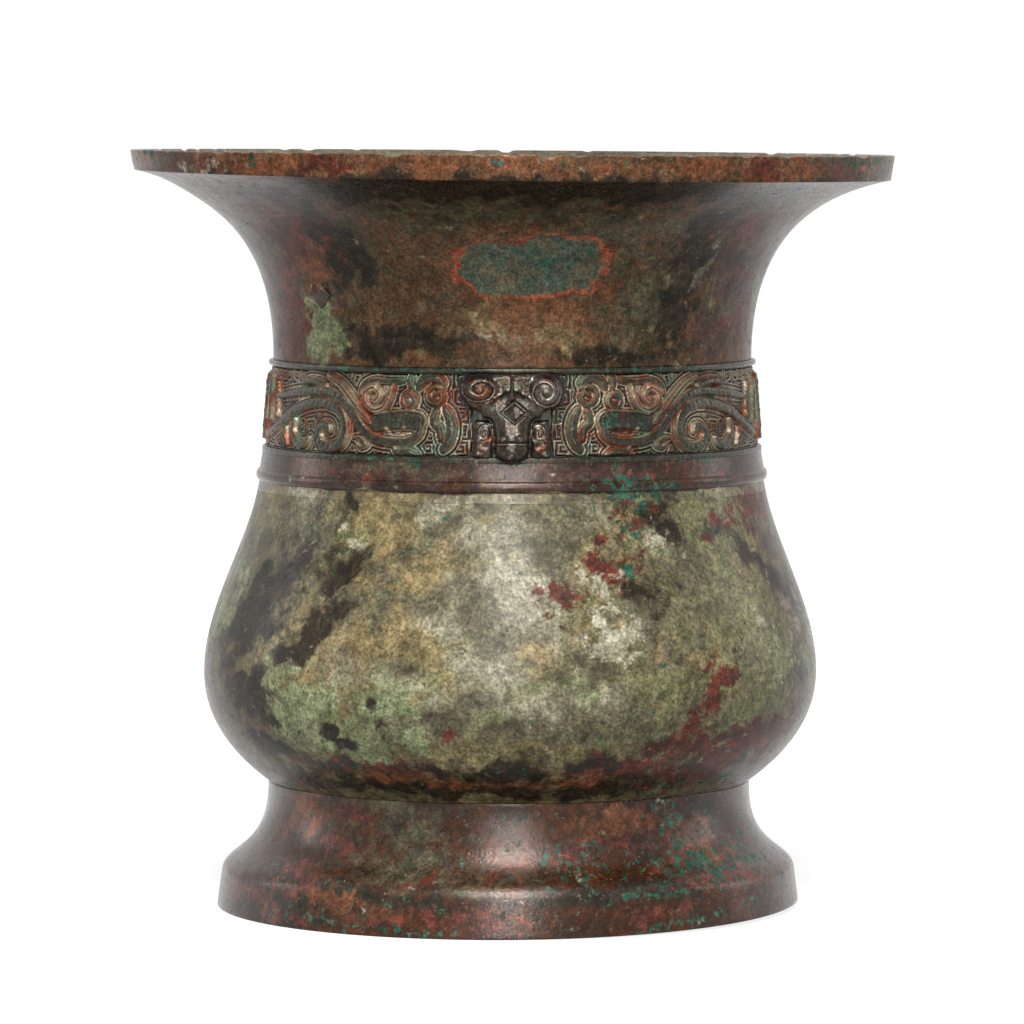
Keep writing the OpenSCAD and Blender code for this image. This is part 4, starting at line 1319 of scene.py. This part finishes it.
def neck_wear(radius, height, azimuth, outer):
    """The neck's dent round its spacer, its chipped rim and its thinner lip on the left."""
    spot_azimuth, spot_z = from_photo(*SPACER_PX)
    across = outside_r(spot_z) * (azimuth - 2 * math.pi * (azimuth > math.pi) - spot_azimuth)
    away = np.hypot(across, height - spot_z)
    dent = DENT * smoothstep(DENT_R, DENT_FLAT_R, away) * outer
    chip = np.clip(waves(azimuth, 0, 8, around=90, height=1e6) - 0.5, 0, 1)
    near_rim = smoothstep(RIM_Z - 2, RIM_Z, height)
    over_edge = height - RIM_Z + LIP_H
    near_edge = np.exp(-(over_edge / 4) ** 2) * smoothstep(LIP_H - 1, 0, over_edge)
    thinned = LIP_THINNED * ((1 - np.sin(azimuth)) / 2) ** 3 * near_edge * outer
    worn_radius = radius - dent - CHIP_IN * chip * near_rim * outer
    return worn_radius, height - CHIP_DOWN * chip * near_rim + thinned


RINGS = [
    ("foot_ring", "foot", foot_outline(), foot_material, COLUMNS),
    ("belly", "belly_wall", belly_outline(), belly_material, BELLY_COLUMNS),
    ("bow_string_band", "shoulder", band_outline(), foot_material, COLUMNS),
    ("frieze_band", "frieze_ground", frieze_outline(), frieze_material, COLUMNS),
    ("trumpet_neck", "neck_and_lip", neck_outline(), neck_material, NECK_COLUMNS, neck_wear),
]
for node, *ring in RINGS:
    finish_piece(ring_piece(*ring), node, node)

PANEL_SIDES = {
    "front_right": (1, 1), "front_left": (-1, 1), "back_right": (1, -1), "back_left": (-1, -1),
}
panel, panel_faces, panel_shades = dragon_panel()
for side, (right, front) in PANEL_SIDES.items():
    spots = panel * (right, front, 1)
    turned = panel_faces if right * front > 0 else [face[::-1] for face in panel_faces]
    shades = {**patina_weights(spots), **panel_shades}
    piece = make_object("dragon_" + side, warped(spots), turned, shades, frieze_material)
    finish_piece(piece, "dragon_panel_" + side, "dragon_panels")

mask_points, mask_faces, mask_crease = mask_mesh()
for side, front in (("front", 1), ("back", -1)):
    spots = mask_points * (front, front, 1)
    shades = patina_weights(spots)
    shades["crease"] = mask_crease
    piece = make_object("mask_of_" + side, warped(spots), mask_faces.tolist(), shades, mask_bronze)
    finish_piece(piece, "mask_" + side, "masks")

for node in ("neck_spacer", "floor_spacers"):
    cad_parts[node].data.materials.clear()
    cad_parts[node].data.materials.append(foot_material)


# Stage, light and camera

def seen_directly(tree):
    """1 where the camera, a mirror image or a view through glass meets the surface, else 0."""
    path = tree.nodes.new("ShaderNodeLightPath")
    total = path.outputs["Is Camera Ray"]
    for label in ("Is Glossy Ray", "Is Transmission Ray"):
        larger = tree.nodes.new("ShaderNodeMath")
        larger.operation = "MAXIMUM"
        tree.links.new(total, larger.inputs[0])
        tree.links.new(path.outputs[label], larger.inputs[1])
        total = larger.outputs[0]
    return total


# The floor is grey under the lamps and glows, a little less near the vessel than further off
FLOOR_HALF = 6.0
FLOOR_GREY = (0.25, 0.25, 0.25, 1)
FLOOR_ROUGHNESS = 0.9
FLOOR_GLOW = 0.84
FLOOR_LIT_R = 0.12
FLOOR_WHITE_R = 0.45
WHITE = (1, 1, 1, 1)
floor_mesh = bpy.data.meshes.new("floor")
floor_corners = [(-1, -1, 0), (1, -1, 0), (1, 1, 0), (-1, 1, 0)]
floor_mesh.from_pydata([Vector(c) * FLOOR_HALF for c in floor_corners], [], [(0, 1, 2, 3)])
floor = in_scene("floor", floor_mesh)
floor_graph = Graph("pale_floor")
dress(floor_graph, FLOOR_GREY, FLOOR_ROUGHNESS, 0, 0)
away_node = floor_graph.add("ShaderNodeVectorMath", operation="LENGTH")
floor_away = floor_graph.fill(away_node, {0: floor_graph.place}).outputs["Value"]
floor_glow = floor_graph.ramp(floor_away, FLOOR_LIT_R, FLOOR_WHITE_R, FLOOR_GLOW, 1)
floor_seen = floor_graph.times(seen_directly(floor_graph.tree), floor_glow)
floor_graph.fill(floor_graph.shader, {"Emission Color": WHITE, "Emission Strength": floor_seen})
floor_mesh.materials.append(floor_graph.material)
floor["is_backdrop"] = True

ROOM_LIGHT = 0.3
world = bpy.data.worlds.new("studio")
bpy.context.scene.world = world
world.use_nodes = True
world_tree = world.node_tree
room = world_tree.nodes["Background"]
room.inputs["Color"].default_value = WHITE
room_level = world_tree.nodes.new("ShaderNodeMapRange")
room_level.inputs["To Min"].default_value = ROOM_LIGHT
room_level.inputs["To Max"].default_value = 1
world_tree.links.new(seen_directly(world_tree), room_level.inputs["Value"])
world_tree.links.new(room_level.outputs[0], room.inputs["Strength"])

LAMP_AIM = Vector((0, 0, 0.1))


def turned_to(place, target):
    """Rotation of a lamp or camera at a place that looks at a target."""
    return (target - place).to_track_quat("-Z", "Y").to_euler()


def soft_light(name, place, width, height, watts):
    data = bpy.data.lights.new(name, "AREA")
    data.shape = "RECTANGLE"
    data.size = width
    data.size_y = height
    data.energy = watts
    light = in_scene(name, data)
    light.location = place
    light.rotation_euler = turned_to(Vector(place), LAMP_AIM)


soft_light("key", (0.0, -2.3, 0.82), 0.2, 1.6, 44)
soft_light("top", (0.0, -0.8, 1.4), 0.14, 1.2, 40)
soft_light("left", (-1.8, 0.5, 0.6), 0.4, 0.9, 5)
soft_light("right", (1.8, 0.5, 0.6), 0.4, 0.9, 5)

SENSOR_MM = 36
FAR_END = 50
camera_data = bpy.data.cameras.new("camera")
camera_data.sensor_width = SENSOR_MM
camera_data.sensor_fit = "HORIZONTAL"
camera_data.lens = SENSOR_MM * CAMERA_D / (PHOTO_PX * PX)
camera_data.clip_end = FAR_END
camera = in_scene("camera", camera_data)
aim_x = (PHOTO_PX / 2 - AXIS_X) * PX
aim_z = CAMERA_Z - (PHOTO_PX / 2 - HORIZON_Y) * PX
camera.location = Vector((aim_x, -CAMERA_D, CAMERA_Z)) * MM
camera.rotation_euler = turned_to(camera.location, Vector((aim_x, 0, aim_z)) * MM)
bpy.context.scene.camera = camera
bpy.context.scene.view_settings.view_transform = "Standard"

boxes = {"cad": CAD_BOX, "visual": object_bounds()}
{k: [list(map(float, corner)) for corner in box] for k, box in boxes.items()}
